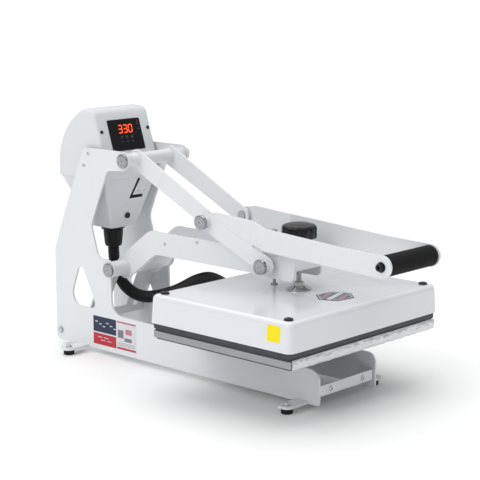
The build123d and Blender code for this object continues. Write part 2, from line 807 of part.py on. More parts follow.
hose_radii = route_radii([(y, z, 0) for y, z in hose_route])
print("hose bend radii:", [round(r, 1) for r in hose_radii])
with BuildPart() as cable_hose:
    with BuildLine() as hose_line:
        FilletPolyline(*[(0, y, z) for y, z in hose_route], radius=hose_radii)
    with BuildSketch(Plane(hose_line.line @ 0, z_dir=hose_line.line % 0)):
        Circle(hose_d / 2)
    sweep()
hose_length = sum(edge.length for edge in hose_line.edges())
print("hose length:", round(hose_length, 1),
      "volume ratio:", round(cable_hose.part.volume / (pi * (hose_d / 2) ** 2 * hose_length), 4))
save(cable_hose, "cable_hose")
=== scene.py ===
"""Clamshell heat press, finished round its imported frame.

Metres, +Z up, origin on the floor under the middle of the machine. The operator stands at -Y and
the control box is at +Y. Each sub-assembly is a class that holds its sizes, builds its meshes and
dresses them; each finish is a frozen dataclass that makes its own material.
"""
import logging
from dataclasses import dataclass
from enum import Enum
from math import atan2, cos, hypot, pi, radians, sin, tau
from typing import Iterable, Sequence

import bmesh
import bpy
from mathutils import Matrix, Vector, noise


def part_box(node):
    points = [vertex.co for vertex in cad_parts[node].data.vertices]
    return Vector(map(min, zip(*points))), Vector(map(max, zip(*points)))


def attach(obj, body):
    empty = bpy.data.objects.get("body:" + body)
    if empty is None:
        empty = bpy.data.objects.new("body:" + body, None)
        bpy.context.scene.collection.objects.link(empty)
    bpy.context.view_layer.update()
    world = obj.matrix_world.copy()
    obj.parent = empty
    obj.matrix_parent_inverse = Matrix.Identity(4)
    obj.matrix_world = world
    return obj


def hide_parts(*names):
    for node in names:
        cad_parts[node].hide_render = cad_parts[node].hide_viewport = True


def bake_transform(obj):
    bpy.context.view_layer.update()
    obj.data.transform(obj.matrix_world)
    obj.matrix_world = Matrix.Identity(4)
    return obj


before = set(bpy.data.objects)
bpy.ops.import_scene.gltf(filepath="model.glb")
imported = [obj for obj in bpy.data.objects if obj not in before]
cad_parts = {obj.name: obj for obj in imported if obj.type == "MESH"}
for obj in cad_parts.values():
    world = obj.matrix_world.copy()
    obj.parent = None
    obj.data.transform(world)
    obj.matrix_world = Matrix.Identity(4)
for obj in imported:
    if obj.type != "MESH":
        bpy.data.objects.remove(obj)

MM = 0.001
TIP = 0.05 * MM  # radius of the small flat where a turned profile meets its axis
NOISE_LOW, NOISE_HIGH = 0.3, 0.7  # where nearly all of a noise texture's values lie
SMOOTH_ANGLE = radians(32)
LOG = logging.getLogger("heat_press")
Colour = tuple[float, float, float]
Place = tuple[float, float, float]


class Body(Enum):
    """The bodies that the pieces ride on."""

    FRAME = "frame"
    ARM = "platen_arm"
    HEAD = "heat_head"
    SCREW = "pressure_screw"
    LINK = "upper_link"
    HANDLE = "handle"
    ROCKER = "power_rocker"


class Facing(Enum):
    """The way that a fastener or a turned piece points."""

    LEFT = (-1.0, 0.0, 0.0)
    RIGHT = (1.0, 0.0, 0.0)
    FRONT = (0.0, -1.0, 0.0)
    UP = (0.0, 0.0, 1.0)

    @property
    def vector(self) -> Vector:
        """The direction as a vector."""
        return Vector(self.value)


# ------------------------------------------------------------------------------- finishes
class Graph:
    """A material's node graph, with short methods for the nodes that the finishes share."""

    def __init__(self, name: str) -> None:
        """Starts a material with its shader and coordinates.

        Args:
            name: the material's name.
        """
        self.material = bpy.data.materials.new(name)
        self.material.use_nodes = True
        self.nodes = self.material.node_tree.nodes
        self.shader = self.nodes["Principled BSDF"]
        self.place = self.nodes.new("ShaderNodeTexCoord")

    def link(self, out: bpy.types.NodeSocket, into: bpy.types.NodeSocket) -> None:
        """Joins two sockets."""
        self.material.node_tree.links.new(out, into)

    def stretched(self, stretch: Place, source: str = "Object") -> bpy.types.NodeSocket:
        """Coordinates scaled along each axis.

        Args:
            stretch: scale along X, Y and Z.
            source: which of the coordinates to scale.

        Returns:
            The vector socket.
        """
        mapping = self.nodes.new("ShaderNodeMapping")
        mapping.inputs["Scale"].default_value = stretch
        self.link(self.place.outputs[source], mapping.inputs["Vector"])
        return mapping.outputs["Vector"]

    def noise(self, scale: float, detail: float = 2.0, stretch: Place = (1, 1, 1),
              source: str = "Object") -> bpy.types.NodeSocket:
        """Noise from 0 to 1.

        Args:
            scale: features to a metre.
            detail: octaves.
            stretch: scale along each axis on top of that.
            source: which coordinates it follows.

        Returns:
            The value socket.
        """
        texture = self.nodes.new("ShaderNodeTexNoise")
        texture.inputs["Scale"].default_value = scale
        texture.inputs["Detail"].default_value = detail
        self.link(self.stretched(stretch, source), texture.inputs["Vector"])
        return texture.outputs["Fac"]

    def cells(self, scale: float, feature: str = "F1") -> bpy.types.NodeSocket:
        """Distance pattern of cells.

        Args:
            scale: cells to a metre.
            feature: which distance is measured.

        Returns:
            The value socket.
        """
        texture = self.nodes.new("ShaderNodeTexVoronoi")
        texture.feature = feature
        texture.inputs["Scale"].default_value = scale
        self.link(self.place.outputs["Object"], texture.inputs["Vector"])
        return texture.outputs["Distance"]

    def spread(self, value: bpy.types.NodeSocket, low: float, high: float) -> bpy.types.NodeSocket:
        """Maps the middle of a noise's range to low..high.

        Args:
            value: noise from 0 to 1.
            low: result at its usual low.
            high: result at its usual high.

        Returns:
            The value socket.
        """
        mapped = self.nodes.new("ShaderNodeMapRange")
        mapped.inputs["From Min"].default_value = NOISE_LOW
        mapped.inputs["From Max"].default_value = NOISE_HIGH
        mapped.inputs["To Min"].default_value = low
        mapped.inputs["To Max"].default_value = high
        self.link(value, mapped.inputs["Value"])
        return mapped.outputs["Result"]

    def blend(self, factor: bpy.types.NodeSocket, one: Colour, two: Colour) -> bpy.types.NodeSocket:
        """Mixes two colours by a factor.

        Args:
            factor: share of the second colour.
            one: first colour.
            two: second colour.

        Returns:
            The colour socket.
        """
        mix = self.nodes.new("ShaderNodeMix")
        mix.data_type = "RGBA"
        self.link(factor, mix.inputs["Factor"])
        for socket, colour in zip([s for s in mix.inputs if s.type == "RGBA"], (one, two)):
            socket.default_value = (*colour, 1)
        return [s for s in mix.outputs if s.type == "RGBA"][0]

    def bump(self, height: bpy.types.NodeSocket, depth: float,
             under: bpy.types.NodeSocket | None = None) -> bpy.types.NodeSocket:
        """Relief from a height.

        Args:
            height: value from 0 to 1.
            depth: metres from its lowest to its highest.
            under: the coarser relief that this one lies on.

        Returns:
            The normal socket.
        """
        bump = self.nodes.new("ShaderNodeBump")
        bump.inputs["Distance"].default_value = depth
        self.link(height, bump.inputs["Height"])
        if under is not None:
            self.link(under, bump.inputs["Normal"])
        return bump.outputs["Normal"]


_MADE: dict[str, bpy.types.Material] = {}


@dataclass(frozen=True)
class Finish:
    """A surface finish: colour, gloss and how both drift over the piece."""

    name: str
    slot: str
    colour: Colour
    roughness: float
    metallic: float = 0.0
    coat: float = 0.0
    drift: float = 0.03
    drift_scale: float = 7.0
    rough_drift: float = 0.05
    specular: float = 0.5

    def material(self) -> bpy.types.Material:
        """The finish's material, made once.

        Returns:
            The material.
        """
        if self.name not in _MADE:
            graph = Graph(self.name)
            self.paint(graph)
            self.relief(graph)
            _MADE[self.name] = graph.material
        return _MADE[self.name]

    def paint(self, graph: Graph) -> None:
        """Colour and gloss with a slow drift.

        Args:
            graph: the material's graph.
        """
        shader = graph.shader.inputs
        shader["Metallic"].default_value = self.metallic
        shader["Coat Weight"].default_value = self.coat
        shader["Specular IOR Level"].default_value = self.specular
        shader["Coat Roughness"].default_value = 0.06
        patches = graph.spread(graph.noise(self.drift_scale, 3), 0, 1)
        darker = tuple(c * (1 - self.drift) for c in self.colour)
        graph.link(graph.blend(patches, self.colour, darker), shader["Base Color"])
        gloss = graph.noise(self.drift_scale * 5, 4)
        low, high = self.roughness - self.rough_drift, self.roughness + self.rough_drift
        graph.link(graph.spread(gloss, low, high), shader["Roughness"])

    def relief(self, graph: Graph) -> None:
        """Fine relief; a plain finish has a faint one.

        Args:
            graph: the material's graph.
        """
        graph.link(graph.bump(graph.noise(400), 0.00001), graph.shader.inputs["Normal"])


@dataclass(frozen=True)
class PowderCoat(Finish):
    """Baked powder: a shallow orange peel with a finer pebble on it."""

    peel: float = 0.000035

    def relief(self, graph: Graph) -> None:
        """Two sizes of orange peel.

        Args:
            graph: the material's graph.
        """
        coarse = graph.bump(graph.noise(420, 1), self.peel)
        fine = graph.bump(graph.noise(1500, 2), self.peel * 0.3, coarse)
        graph.link(fine, graph.shader.inputs["Normal"])


@dataclass(frozen=True)
class BrushedMetal(Finish):
    """Metal with lines drawn along one axis."""

    stretch: Place = (0.02, 1, 1)
    line: float = 0.000012

    def relief(self, graph: Graph) -> None:
        """Long fine scratches."""
        lines = graph.noise(1800, 3, self.stretch)
        graph.link(graph.bump(lines, self.line), graph.shader.inputs["Normal"])


@dataclass(frozen=True)
class TurnedMetal(Finish):
    """Metal from the lathe: rings that follow the piece's own turning map."""

    ring: float = 0.000012

    def relief(self, graph: Graph) -> None:
        """Tool rings round the axis over a faint unevenness.

        Args:
            graph: the material's graph.
        """
        broad = graph.bump(graph.noise(90), 0.00003)
        rings = graph.noise(1, 2, (0.6, 2600, 1), "UV")
        graph.link(graph.bump(rings, self.ring, broad), graph.shader.inputs["Normal"])


@dataclass(frozen=True)
class Plated(Finish):
    """Zinc plate: clouded crystals on a smooth face."""

    def relief(self, graph: Graph) -> None:
        """Shallow cells."""
        graph.link(graph.bump(graph.cells(700), 0.000002), graph.shader.inputs["Normal"])


@dataclass(frozen=True)
class Moulded(Finish):
    """Moulded plastic or rubber with a spark-eroded grain."""

    grain: float = 1600.0
    depth: float = 0.00003

    def relief(self, graph: Graph) -> None:
        """Even pebble grain."""
        graph.link(graph.bump(graph.noise(self.grain, 2), self.depth), graph.shader.inputs["Normal"])


@dataclass(frozen=True)
class FoamSkin(Finish):
    """Closed-cell foam: small open pits and a soft sheen."""

    def relief(self, graph: Graph) -> None:
        """Pits over a slow unevenness.

        Args:
            graph: the material's graph.
        """
        graph.shader.inputs["Sheen Weight"].default_value = 0.04
        soft = graph.bump(graph.noise(60), 0.0004)
        pits = graph.bump(graph.cells(1100), 0.00012, soft)
        graph.link(pits, graph.shader.inputs["Normal"])


@dataclass(frozen=True)
class CrinkledFoil(Finish):
    """Thin metal film with creases."""

    def relief(self, graph: Graph) -> None:
        """Creases of two sizes.

        Args:
            graph: the material's graph.
        """
        large = graph.bump(graph.cells(70, "DISTANCE_TO_EDGE"), 0.0009)
        small = graph.bump(graph.cells(240, "DISTANCE_TO_EDGE"), 0.0005, large)
        graph.link(small, graph.shader.inputs["Normal"])


@dataclass(frozen=True)
class Glow(Finish):
    """Lit segment of a display."""

    strength: float = 3.0

    def paint(self, graph: Graph) -> None:
        """Light whose tint drifts paler in a fine grain.

        Args:
            graph: the material's graph.
        """
        shader = graph.shader.inputs
        shader["Base Color"].default_value = (*self.colour, 1)
        shader["Roughness"].default_value = self.roughness
        shader["Emission Strength"].default_value = self.strength
        pale = (self.colour[0], self.colour[1] * 2.6, self.colour[2] * 2)
        grain = graph.spread(graph.noise(900), 0, 1)
        graph.link(graph.blend(grain, self.colour, pale), shader["Emission Color"])


WHITE = PowderCoat("white_enamel", "white_enamel", (0.745, 0.76, 0.778), 0.36, coat=0.12, drift=0.02)
GLOSS = PowderCoat("white_gloss", "white_gloss", (0.72, 0.735, 0.765), 0.2, coat=0.6, drift=0.015,
                   peel=0.00001)
HOOD = PowderCoat("hood_paint", "white_enamel", (0.7, 0.712, 0.735), 0.44, drift=0.02, peel=0.00005)
BRIGHT = TurnedMetal("turned_steel", "bright_steel", (0.36, 0.37, 0.385), 0.2, metallic=1)
ZINC = Plated("zinc_plate", "zinc_steel", (0.6, 0.61, 0.6), 0.24, metallic=1, drift=0.15,
              drift_scale=60)
BLACK_STEEL = Moulded("black_oxide", "black_steel", (0.016, 0.016, 0.018), 0.3, metallic=0.3,
                      specular=0.4)
PLATEN = BrushedMetal("milled_aluminium", "plate_aluminium", (0.36, 0.365, 0.375), 0.4, metallic=1)
HEATER = BrushedMetal("cast_heater", "heater_aluminium", (0.085, 0.09, 0.1), 0.5, metallic=0.8,
                      drift=0.15, drift_scale=20, specular=0.3)
TRAY = Plated("tray_steel", "dark_tray", (0.11, 0.115, 0.12), 0.5, metallic=0.8, drift=0.15)
SILICONE = Moulded("pad_silicone", "pad_silicone", (0.09, 0.09, 0.095), 0.75, grain=900)
RUBBER = Moulded("foot_rubber", "foot_rubber", (0.01, 0.01, 0.011), 0.7, grain=1100, specular=0.25)
FOAM = FoamSkin("grip_foam", "grip_foam", (0.006, 0.006, 0.0065), 0.85, drift=0.2, specular=0.18)
KNOB = Moulded("knob_phenolic", "knob_plastic", (0.006, 0.006, 0.007), 0.24, coat=0.1, grain=700,
               specular=0.32)
PLASTIC = Moulded("black_nylon", "black_plastic", (0.009, 0.009, 0.01), 0.42, specular=0.28)
HOSE = Moulded("hose_nylon", "hose_plastic", (0.006, 0.006, 0.007), 0.38, grain=500, specular=0.3)
FILM = Finish("display_film", "display_film", (0.004, 0.004, 0.007), 0.2, drift=0.1, specular=0.22)
LENS = Finish("display_lens", "display_film", (0.014, 0.002, 0.003), 0.14, drift=0.1, specular=0.22)
BOARD = Moulded("board_laminate", "board_green", (0.02, 0.13, 0.05), 0.4, drift=0.3)
FOIL = CrinkledFoil("edge_foil", "plate_aluminium", (0.66, 0.67, 0.69), 0.34, metallic=1)
LED = Glow("led_red", "display_film", (1.0, 0.05, 0.012), 0.4, strength=1.35)
KEY_INK = Finish("key_ink", "display_film", (0.1, 0.1, 0.12), 0.4, specular=0.2)
KEY_RED = Finish("key_red", "display_film", (0.4, 0.06, 0.08), 0.4, specular=0.2)
INK_NAVY = Finish("ink_navy", "display_film", (0.02, 0.028, 0.07), 0.3, specular=0.3)
INK_RED = Finish("ink_red", "display_film", (0.5, 0.03, 0.045), 0.3, specular=0.3)
INK_PALE = Finish("ink_pale", "white_gloss", (0.66, 0.67, 0.7), 0.35, coat=0.3)
INK_GREY = Finish("ink_grey", "display_film", (0.2, 0.2, 0.23), 0.35, specular=0.3)
INK_YELLOW = Finish("ink_yellow", "white_gloss", (0.92, 0.76, 0.0), 0.35, specular=0.3)
INK_ROSE = Finish("ink_rose", "white_gloss", (0.5, 0.2, 0.25), 0.35, specular=0.3)
# Painted shade: this near-black stands in for the shade inside the collars' set-screw holes.
PAINTED_HOLE_SHADE = Finish("painted_hole_shade", "black_plastic", (0.004, 0.004, 0.004), 0.8, specular=0.1)


# ------------------------------------------------------------------------------- mesh tools
def middle(node: str) -> Vector:
    """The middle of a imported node's box."""
    low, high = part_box(node)
    return (low + high) / 2


def new_piece(name: str, mesh: bpy.types.Mesh) -> bpy.types.Object:
    """Links a mesh to the scene as an object at the origin.

    Args:
        name: the piece's name.
        mesh: its mesh, already in place.

    Returns:
        The object.
    """
    mesh.name = name
    piece = bpy.data.objects.new(name, mesh)
    bpy.context.scene.collection.objects.link(piece)
    return piece


def smooth(piece: bpy.types.Object, angle: float = SMOOTH_ANGLE) -> bpy.types.Object:
    """Shades a piece smooth except over its sharp edges.

    Args:
        piece: the piece.
        angle: edges sharper than this stay sharp.

    Returns:
        The same piece.
    """
    piece.data.shade_smooth()
    piece.data.set_sharp_from_angle(angle=angle)
    return piece


def from_bmesh(name: str, bm: bmesh.types.BMesh) -> bpy.types.Object:
    """Turns a finished bmesh into a smooth-shaded piece.

    Args:
        name: the piece's name.
        bm: its faces, freed afterwards.

    Returns:
        The object.
    """
    bmesh.ops.recalc_face_normals(bm, faces=bm.faces)
    mesh = bpy.data.meshes.new(name)
    bm.to_mesh(mesh)
    bm.free()
    return smooth(new_piece(name, mesh))


def applied(piece: bpy.types.Object) -> bpy.types.Object:
    """Replaces a piece's mesh by its evaluated one and takes its modifiers off.

    Args:
        piece: the piece with its modifiers.

    Returns:
        The same piece, plain.
    """
    bpy.context.view_layer.update()
    evaluated = piece.evaluated_get(bpy.context.evaluated_depsgraph_get())
    mesh = bpy.data.meshes.new_from_object(evaluated)
    piece.modifiers.clear()
    piece.data = mesh
    return piece


def bevelled_copy(node: str, name: str, width: float = 0.8 * MM, segments: int = 2) -> bpy.types.Object:
    """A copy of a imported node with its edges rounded.

    Args:
        node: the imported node.
        name: the copy's name.
        width: bevel width.
        segments: bevel segments.

    Returns:
        The object.
    """
    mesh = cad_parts[node].data.copy()
    mesh.materials.clear()
    bm = bmesh.new()
    bm.from_mesh(mesh)
    bmesh.ops.remove_doubles(bm, verts=bm.verts, dist=2e-6)
    bmesh.ops.dissolve_limit(bm, angle_limit=radians(0.5), verts=bm.verts, edges=bm.edges)
    clean = bpy.data.meshes.new(name)
    bm.to_mesh(clean)
    bm.free()
    bpy.data.meshes.remove(mesh)
    piece = smooth(new_piece(name, clean), radians(50))
    bevel = piece.modifiers.new("edge", "BEVEL")
    bevel.width = width
    bevel.segments = segments
    bevel.limit_method = "ANGLE"
    bevel.angle_limit = radians(40)
    bevel.use_clamp_overlap = True
    bevel.harden_normals = True
    return applied(piece)


def basis(origin: Vector, across: Vector, up: Vector) -> Matrix:
    """The matrix of a flat place.

    Args:
        origin: its middle.
        across: its local X.
        up: its local Y; the face looks along across x up.

    Returns:
        A 4x4 matrix.
    """
    across, up = across.normalized(), up.normalized()
    matrix = Matrix((across, up, across.cross(up))).transposed().to_4x4()
    matrix.translation = origin
    return matrix


def axis_basis(origin: Vector, facing: Vector) -> Matrix:
    """The matrix of a turned piece.

    Args:
        origin: where it stands.
        facing: the way that its local Z looks.

    Returns:
        A 4x4 matrix.
    """
    matrix = facing.to_track_quat("Z", "Y").to_matrix().to_4x4()
    matrix.translation = origin
    return matrix


def rings_to_faces(bm: bmesh.types.BMesh, rings: Sequence[Sequence[Vector]], index: int = 0) -> None:
    """Skins rings of the same count and caps both ends.

    Args:
        bm: where the faces go.
        rings: points of each ring in order.
        index: material index of the faces.
    """
    rows = [[bm.verts.new(p) for p in ring] for ring in rings]
    faces = []
    for low, high in zip(rows, rows[1:]):
        for i in range(len(low)):
            j = (i + 1) % len(low)
            faces.append(bm.faces.new((low[i], low[j], high[j], high[i])))
    faces.append(bm.faces.new(list(reversed(rows[0]))))
    faces.append(bm.faces.new(rows[-1]))
    for face in faces:
        face.material_index = index


def circle(radius: float, height: float, sides: int) -> list[Vector]:
    """A ring of points round local Z."""
    return [Vector((radius * cos(tau * i / sides), radius * sin(tau * i / sides), height))
            for i in range(sides)]


def hexagon(radius: float, height: float, sides: int) -> list[Vector]:
    """A ring of points on a hexagon, as many as a matching circle has.

    Args:
        radius: distance of its corners from local Z.
        height: its level.
        sides: number of points.

    Returns:
        The points.
    """
    ring = []
    for i in range(sides):
        angle = tau * i / sides
        reach = radius * cos(pi / 6) / cos((angle + pi / 6) % (pi / 3) - pi / 6)
        ring.append(Vector((reach * cos(angle), reach * sin(angle), height)))
    return ring


def lathe(name: str, profile: Sequence[tuple[float, float]], at: Matrix, sides: int = 48) -> bpy.types.Object:
    """Turns a profile round local Z, with a UV map round and along it.

    Args:
        name: the piece's name.
        profile: (radius, height) points from the bottom's middle to the top's.
        at: where local Z stands.
        sides: segments round.

    Returns:
        The object.
    """
    bm = bmesh.new()
    turning = bm.loops.layers.uv.new("turning")
    lengths = [0.0]
    for one, two in zip(profile, profile[1:]):
        lengths.append(lengths[-1] + hypot(two[0] - one[0], two[1] - one[1]))
    rows = [[bm.verts.new(at @ p) for p in circle(r, z, sides)] for r, z in profile]
    for k, (low, high) in enumerate(zip(rows, rows[1:])):
        for i in range(sides):
            j = (i + 1) % sides
            face = bm.faces.new((low[i], low[j], high[j], high[i]))
            along = (lengths[k], lengths[k], lengths[k + 1], lengths[k + 1])
            for loop, u, v in zip(face.loops, (i, i + 1, i + 1, i), along):
                loop[turning].uv = (u / sides, v)
    bm.faces.new(list(reversed(rows[0])))
    bm.faces.new(rows[-1])
    return from_bmesh(name, bm)


def rounded_ring(width: float, height: float, radius: float, level: float, steps: int = 4) -> list[Vector]:
    """The outline of a rounded rectangle.

    Args:
        width: size across.
        height: size up.
        radius: corner radius.
        level: distance along local Z.
        steps: segments in each corner.

    Returns:
        The points.
    """
    ring = []
    for k, (sx, sy) in enumerate(((1, 1), (-1, 1), (-1, -1), (1, -1))):
        for i in range(steps + 1):
            angle = pi / 2 * (k + i / steps)
            ring.append(Vector((sx * (width / 2 - radius) + radius * cos(angle),
                                sy * (height / 2 - radius) + radius * sin(angle), level)))
    return ring


def add_plaque(bm: bmesh.types.BMesh, at: Matrix, width: float, height: float, low: float,
               high: float, radius: float = 0.5 * MM, edge: float = 0.1 * MM, index: int = 0) -> None:
    """Adds a rounded slab with a softened front edge.

    Args:
        bm: where it goes.
        at: its flat place.
        width: size across.
        height: size up.
        low: level of its back.
        high: level of its front.
        radius: corner radius.
        edge: width of the soft edge.
        index: material index.
    """
    inner = max(radius - edge, 0.05 * MM)
    outline = [
        rounded_ring(width, height, radius, low),
        rounded_ring(width, height, radius, high - edge),
        rounded_ring(width - 2 * edge, height - 2 * edge, inner, high),
    ]
    rings_to_faces(bm, [[at @ p for p in ring] for ring in outline], index)


def join(pieces: Sequence[bpy.types.Object], name: str) -> bpy.types.Object:
    """Joins plain pieces into the first of them.

    Args:
        pieces: what is joined.
        name: the result's name.

    Returns:
        The joined piece.
    """
    bm = bmesh.new()
    for piece in pieces:
        bm.from_mesh(piece.data)
    bm.to_mesh(pieces[0].data)
    bm.free()
    for piece in pieces[1:]:
        bpy.data.objects.remove(piece)
    pieces[0].name = name
    pieces[0].data.name = name
    return smooth(pieces[0])


def settle(piece: bpy.types.Object, body: Body, finish: Finish | None, *stands_for: str) -> bpy.types.Object:
    """Dresses a finished piece and puts it on its body.

    Args:
        piece: the finished piece.
        body: what it rides on.
        finish: its finish; None keeps the materials it has.
        stands_for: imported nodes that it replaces.

    Returns:
        The piece.
    """
    if finish is not None:
        piece.data.materials.clear()
        piece.data.materials.append(finish.material())
    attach(piece, body.value)
    if stands_for:
        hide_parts(*stands_for)
    LOG.info("%s rides on %s", piece.name, body.value)
    return piece


def dress_nodes(finish: Finish, *nodes: str) -> None:
    """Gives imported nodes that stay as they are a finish.

    Args:
        finish: the finish.
        nodes: their names.
    """
    for node in nodes:
        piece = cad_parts[node]
        if not piece.material_slots:
            piece.data.materials.append(finish.material())
        for material_slot in piece.material_slots:
            material_slot.material = finish.material()
        LOG.info("%s keeps its packed shape", node)


# ------------------------------------------------------------------------------- node trees
class Tree:
    """A Geometry Nodes tree with named inputs."""

    def __init__(self, name: str, inputs: dict[str, str]) -> None:
        """Starts the tree.

        Args:
            name: its name.
            inputs: socket type of each named input.
        """
        self.tree = bpy.data.node_groups.new(name, "GeometryNodeTree")
        self.tree.is_modifier = True
        face = self.tree.interface
        face.new_socket("Geometry", in_out="INPUT", socket_type="NodeSocketGeometry")
        for label, kind in {**inputs, "Finish": "NodeSocketMaterial"}.items():
            face.new_socket(label, in_out="INPUT", socket_type=kind)
        face.new_socket("Geometry", in_out="OUTPUT", socket_type="NodeSocketGeometry")
        self.given = self.tree.nodes.new("NodeGroupInput").outputs
        self.result = self.tree.nodes.new("NodeGroupOutput").inputs

    def node(self, kind: str, mode: str | None = None, **inputs: object) -> bpy.types.Node:
        """Adds a node; inputs are sockets or values by name, with _ for a space.

        Args:
            kind: the node's type.
            mode: the node's mode, where it has one.
            inputs: what each of its inputs gets.

        Returns:
            The node.
        """
        node = self.tree.nodes.new(kind)
        if mode is not None:
            node.mode = mode
        for label, value in inputs.items():
            socket = node.inputs[label.replace("_", " ")]
            if isinstance(value, bpy.types.NodeSocket):
                self.tree.links.new(value, socket)
            else:
                socket.default_value = value
        return node

    def arithmetic(self, kind: str, one: object, two: object) -> bpy.types.NodeSocket:
        """Adds an arithmetic node.

        Args:
            kind: its operation.
            one: first number or socket.
            two: second number or socket.

        Returns:
            The value socket.
        """
        node = self.tree.nodes.new("ShaderNodeMath")
        node.operation = kind
        for socket, value in zip(node.inputs, (one, two)):
            if isinstance(value, bpy.types.NodeSocket):
                self.tree.links.new(value, socket)
            else:
                socket.default_value = value
        return node.outputs[0]

    def close(self, geometry: bpy.types.NodeSocket) -> None:
        """Ends the tree in Realize Instances and Set Material.

        Args:
            geometry: what the tree has made.
        """
        real = self.node("GeometryNodeRealizeInstances", Geometry=geometry)
        last = self.node("GeometryNodeSetMaterial", Geometry=real.outputs[0],
                         Material=self.given["Finish"])
        self.tree.links.new(last.outputs[0], self.result[0])

    def run(self, host: bpy.types.Object, name: str, finish: Finish, angle: float = SMOOTH_ANGLE,
            **values: object) -> bpy.types.Object:
        """Runs the tree on a host and keeps the result as one plain mesh.

        Args:
            host: the object that it reads, removed afterwards.
            name: the new piece's name.
            finish: what Set Material gets.
            angle: edges sharper than this stay sharp.
            values: the named inputs, with _ for a space.

        Returns:
            The new piece.
        """
        modifier = host.modifiers.new(name, "NODES")
        modifier.node_group = self.tree
        wanted = {"Finish": finish.material()}
        wanted.update({label.replace("_", " "): value for label, value in values.items()})
        for item in self.tree.interface.items_tree:
            if item.in_out == "INPUT" and item.name in wanted:
                modifier[item.identifier] = wanted[item.name]
        bpy.context.view_layer.update()
        evaluated = host.evaluated_get(bpy.context.evaluated_depsgraph_get())
        mesh = bpy.data.meshes.new_from_object(evaluated)
        host.modifiers.clear()
        bpy.data.objects.remove(host)
        return smooth(new_piece(name, mesh), angle)


class FastenerTree(Tree):
    """Sets one fastener at each point, turned to the point's facing and spin."""

    def __init__(self) -> None:
        """Builds the tree."""
        super().__init__("fastener_at_each_point", {"Fastener": "NodeSocketObject"})
        facing = self.node("GeometryNodeInputNamedAttribute", Name="facing")
        facing.data_type = "FLOAT_VECTOR"
        spin = self.node("GeometryNodeInputNamedAttribute", Name="spin")
        spin.data_type = "FLOAT"
        aim = self.node("FunctionNodeAlignRotationToVector", Vector=facing.outputs["Attribute"])
        aim.axis = "Z"
        turn = self.node("FunctionNodeAxisAngleToRotation", Axis=(0, 0, 1),
                         Angle=spin.outputs["Attribute"])
        both = self.node("FunctionNodeRotateRotation", Rotation=aim.outputs[0],
                         Rotate_By=turn.outputs[0])
        both.rotation_space = "LOCAL"
        item = self.node("GeometryNodeObjectInfo", Object=self.given["Fastener"])
        placed = self.node("GeometryNodeInstanceOnPoints", Points=self.given["Geometry"],
                           Instance=item.outputs["Geometry"], Rotation=both.outputs[0])
        self.close(placed.outputs[0])

    def place(self, name: str, fastener: bpy.types.Object, finish: Finish, places: Iterable[Vector],
              facings: Iterable[Vector], spins: Iterable[float] | None = None) -> bpy.types.Object:
        """Sets a fastener at each place.

        Args:
            name: the new piece's name.
            fastener: what is set, removed afterwards.
            finish: its finish.
            places: where each stands.
            facings: which way each points.
            spins: how far each turns about its own axis.

        Returns:
            The new piece.
        """
        points = [tuple(p) for p in places]
        mesh = bpy.data.meshes.new(name + "_points")
        mesh.from_pydata(points, [], [])
        facing = mesh.attributes.new("facing", "FLOAT_VECTOR", "POINT")
        facing.data.foreach_set("vector", [c for v in facings for c in v])
        spin = mesh.attributes.new("spin", "FLOAT", "POINT")
        spin.data.foreach_set("value", list(spins) if spins else [0.0] * len(points))
        piece = self.run(new_piece(name + "_points", mesh), name, finish, Fastener=fastener)
        bpy.data.objects.remove(fastener)
        return piece


class RibbedTubeTree(Tree):
    """A tube along an edge path, whose radius swells once every pitch."""

    def __init__(self) -> None:
        """Builds the tree."""
        super().__init__("ribbed_tube", {"Radius": "NodeSocketFloat", "Rib Depth": "NodeSocketFloat",
                                         "Rib Pitch": "NodeSocketFloat", "Rings per Rib": "NodeSocketFloat",
                                         "Sides": "NodeSocketInt"})
        given = self.given
        path = self.node("GeometryNodeMeshToCurve", Mesh=given["Geometry"])
        step = self.arithmetic("DIVIDE", given["Rib Pitch"], given["Rings per Rib"])
        rings = self.node("GeometryNodeResampleCurve", "LENGTH", Curve=path.outputs[0], Length=step)
        along = self.node("GeometryNodeSplineParameter")
        ribs = self.arithmetic("DIVIDE", along.outputs["Length"], given["Rib Pitch"])
        phase = self.arithmetic("MULTIPLY", ribs, tau)
        wave = self.arithmetic("SINE", phase, 0.0)
        rib = self.arithmetic("MULTIPLY", wave, given["Rib Depth"])
        swell = self.arithmetic("ADD", given["Radius"], rib)
        round_profile = self.node("GeometryNodeCurvePrimitiveCircle", Resolution=given["Sides"],
                                  Radius=1.0)
        tube = self.node("GeometryNodeCurveToMesh", Curve=rings.outputs[0],
                         Profile_Curve=round_profile.outputs[0], Scale=swell, Fill_Caps=True)
        self.close(tube.outputs[0])

    def follow(self, name: str, path: Sequence[Vector], closed: bool, finish: Finish,
               **values: object) -> bpy.types.Object:
        """Makes a ribbed tube along a path.

        Args:
            name: the new piece's name.
            path: the points that it follows.
            closed: whether the path is a ring.
            finish: its finish.
            values: the tree's named inputs.

        Returns:
            The new piece.
        """
        count = len(path)
        edges = [(i, (i + 1) % count) for i in range(count if closed else count - 1)]
        mesh = bpy.data.meshes.new(name + "_path")
        mesh.from_pydata([tuple(p) for p in path], edges, [])
        return self.run(new_piece(name + "_path", mesh), name, finish, angle=radians(60), **values)


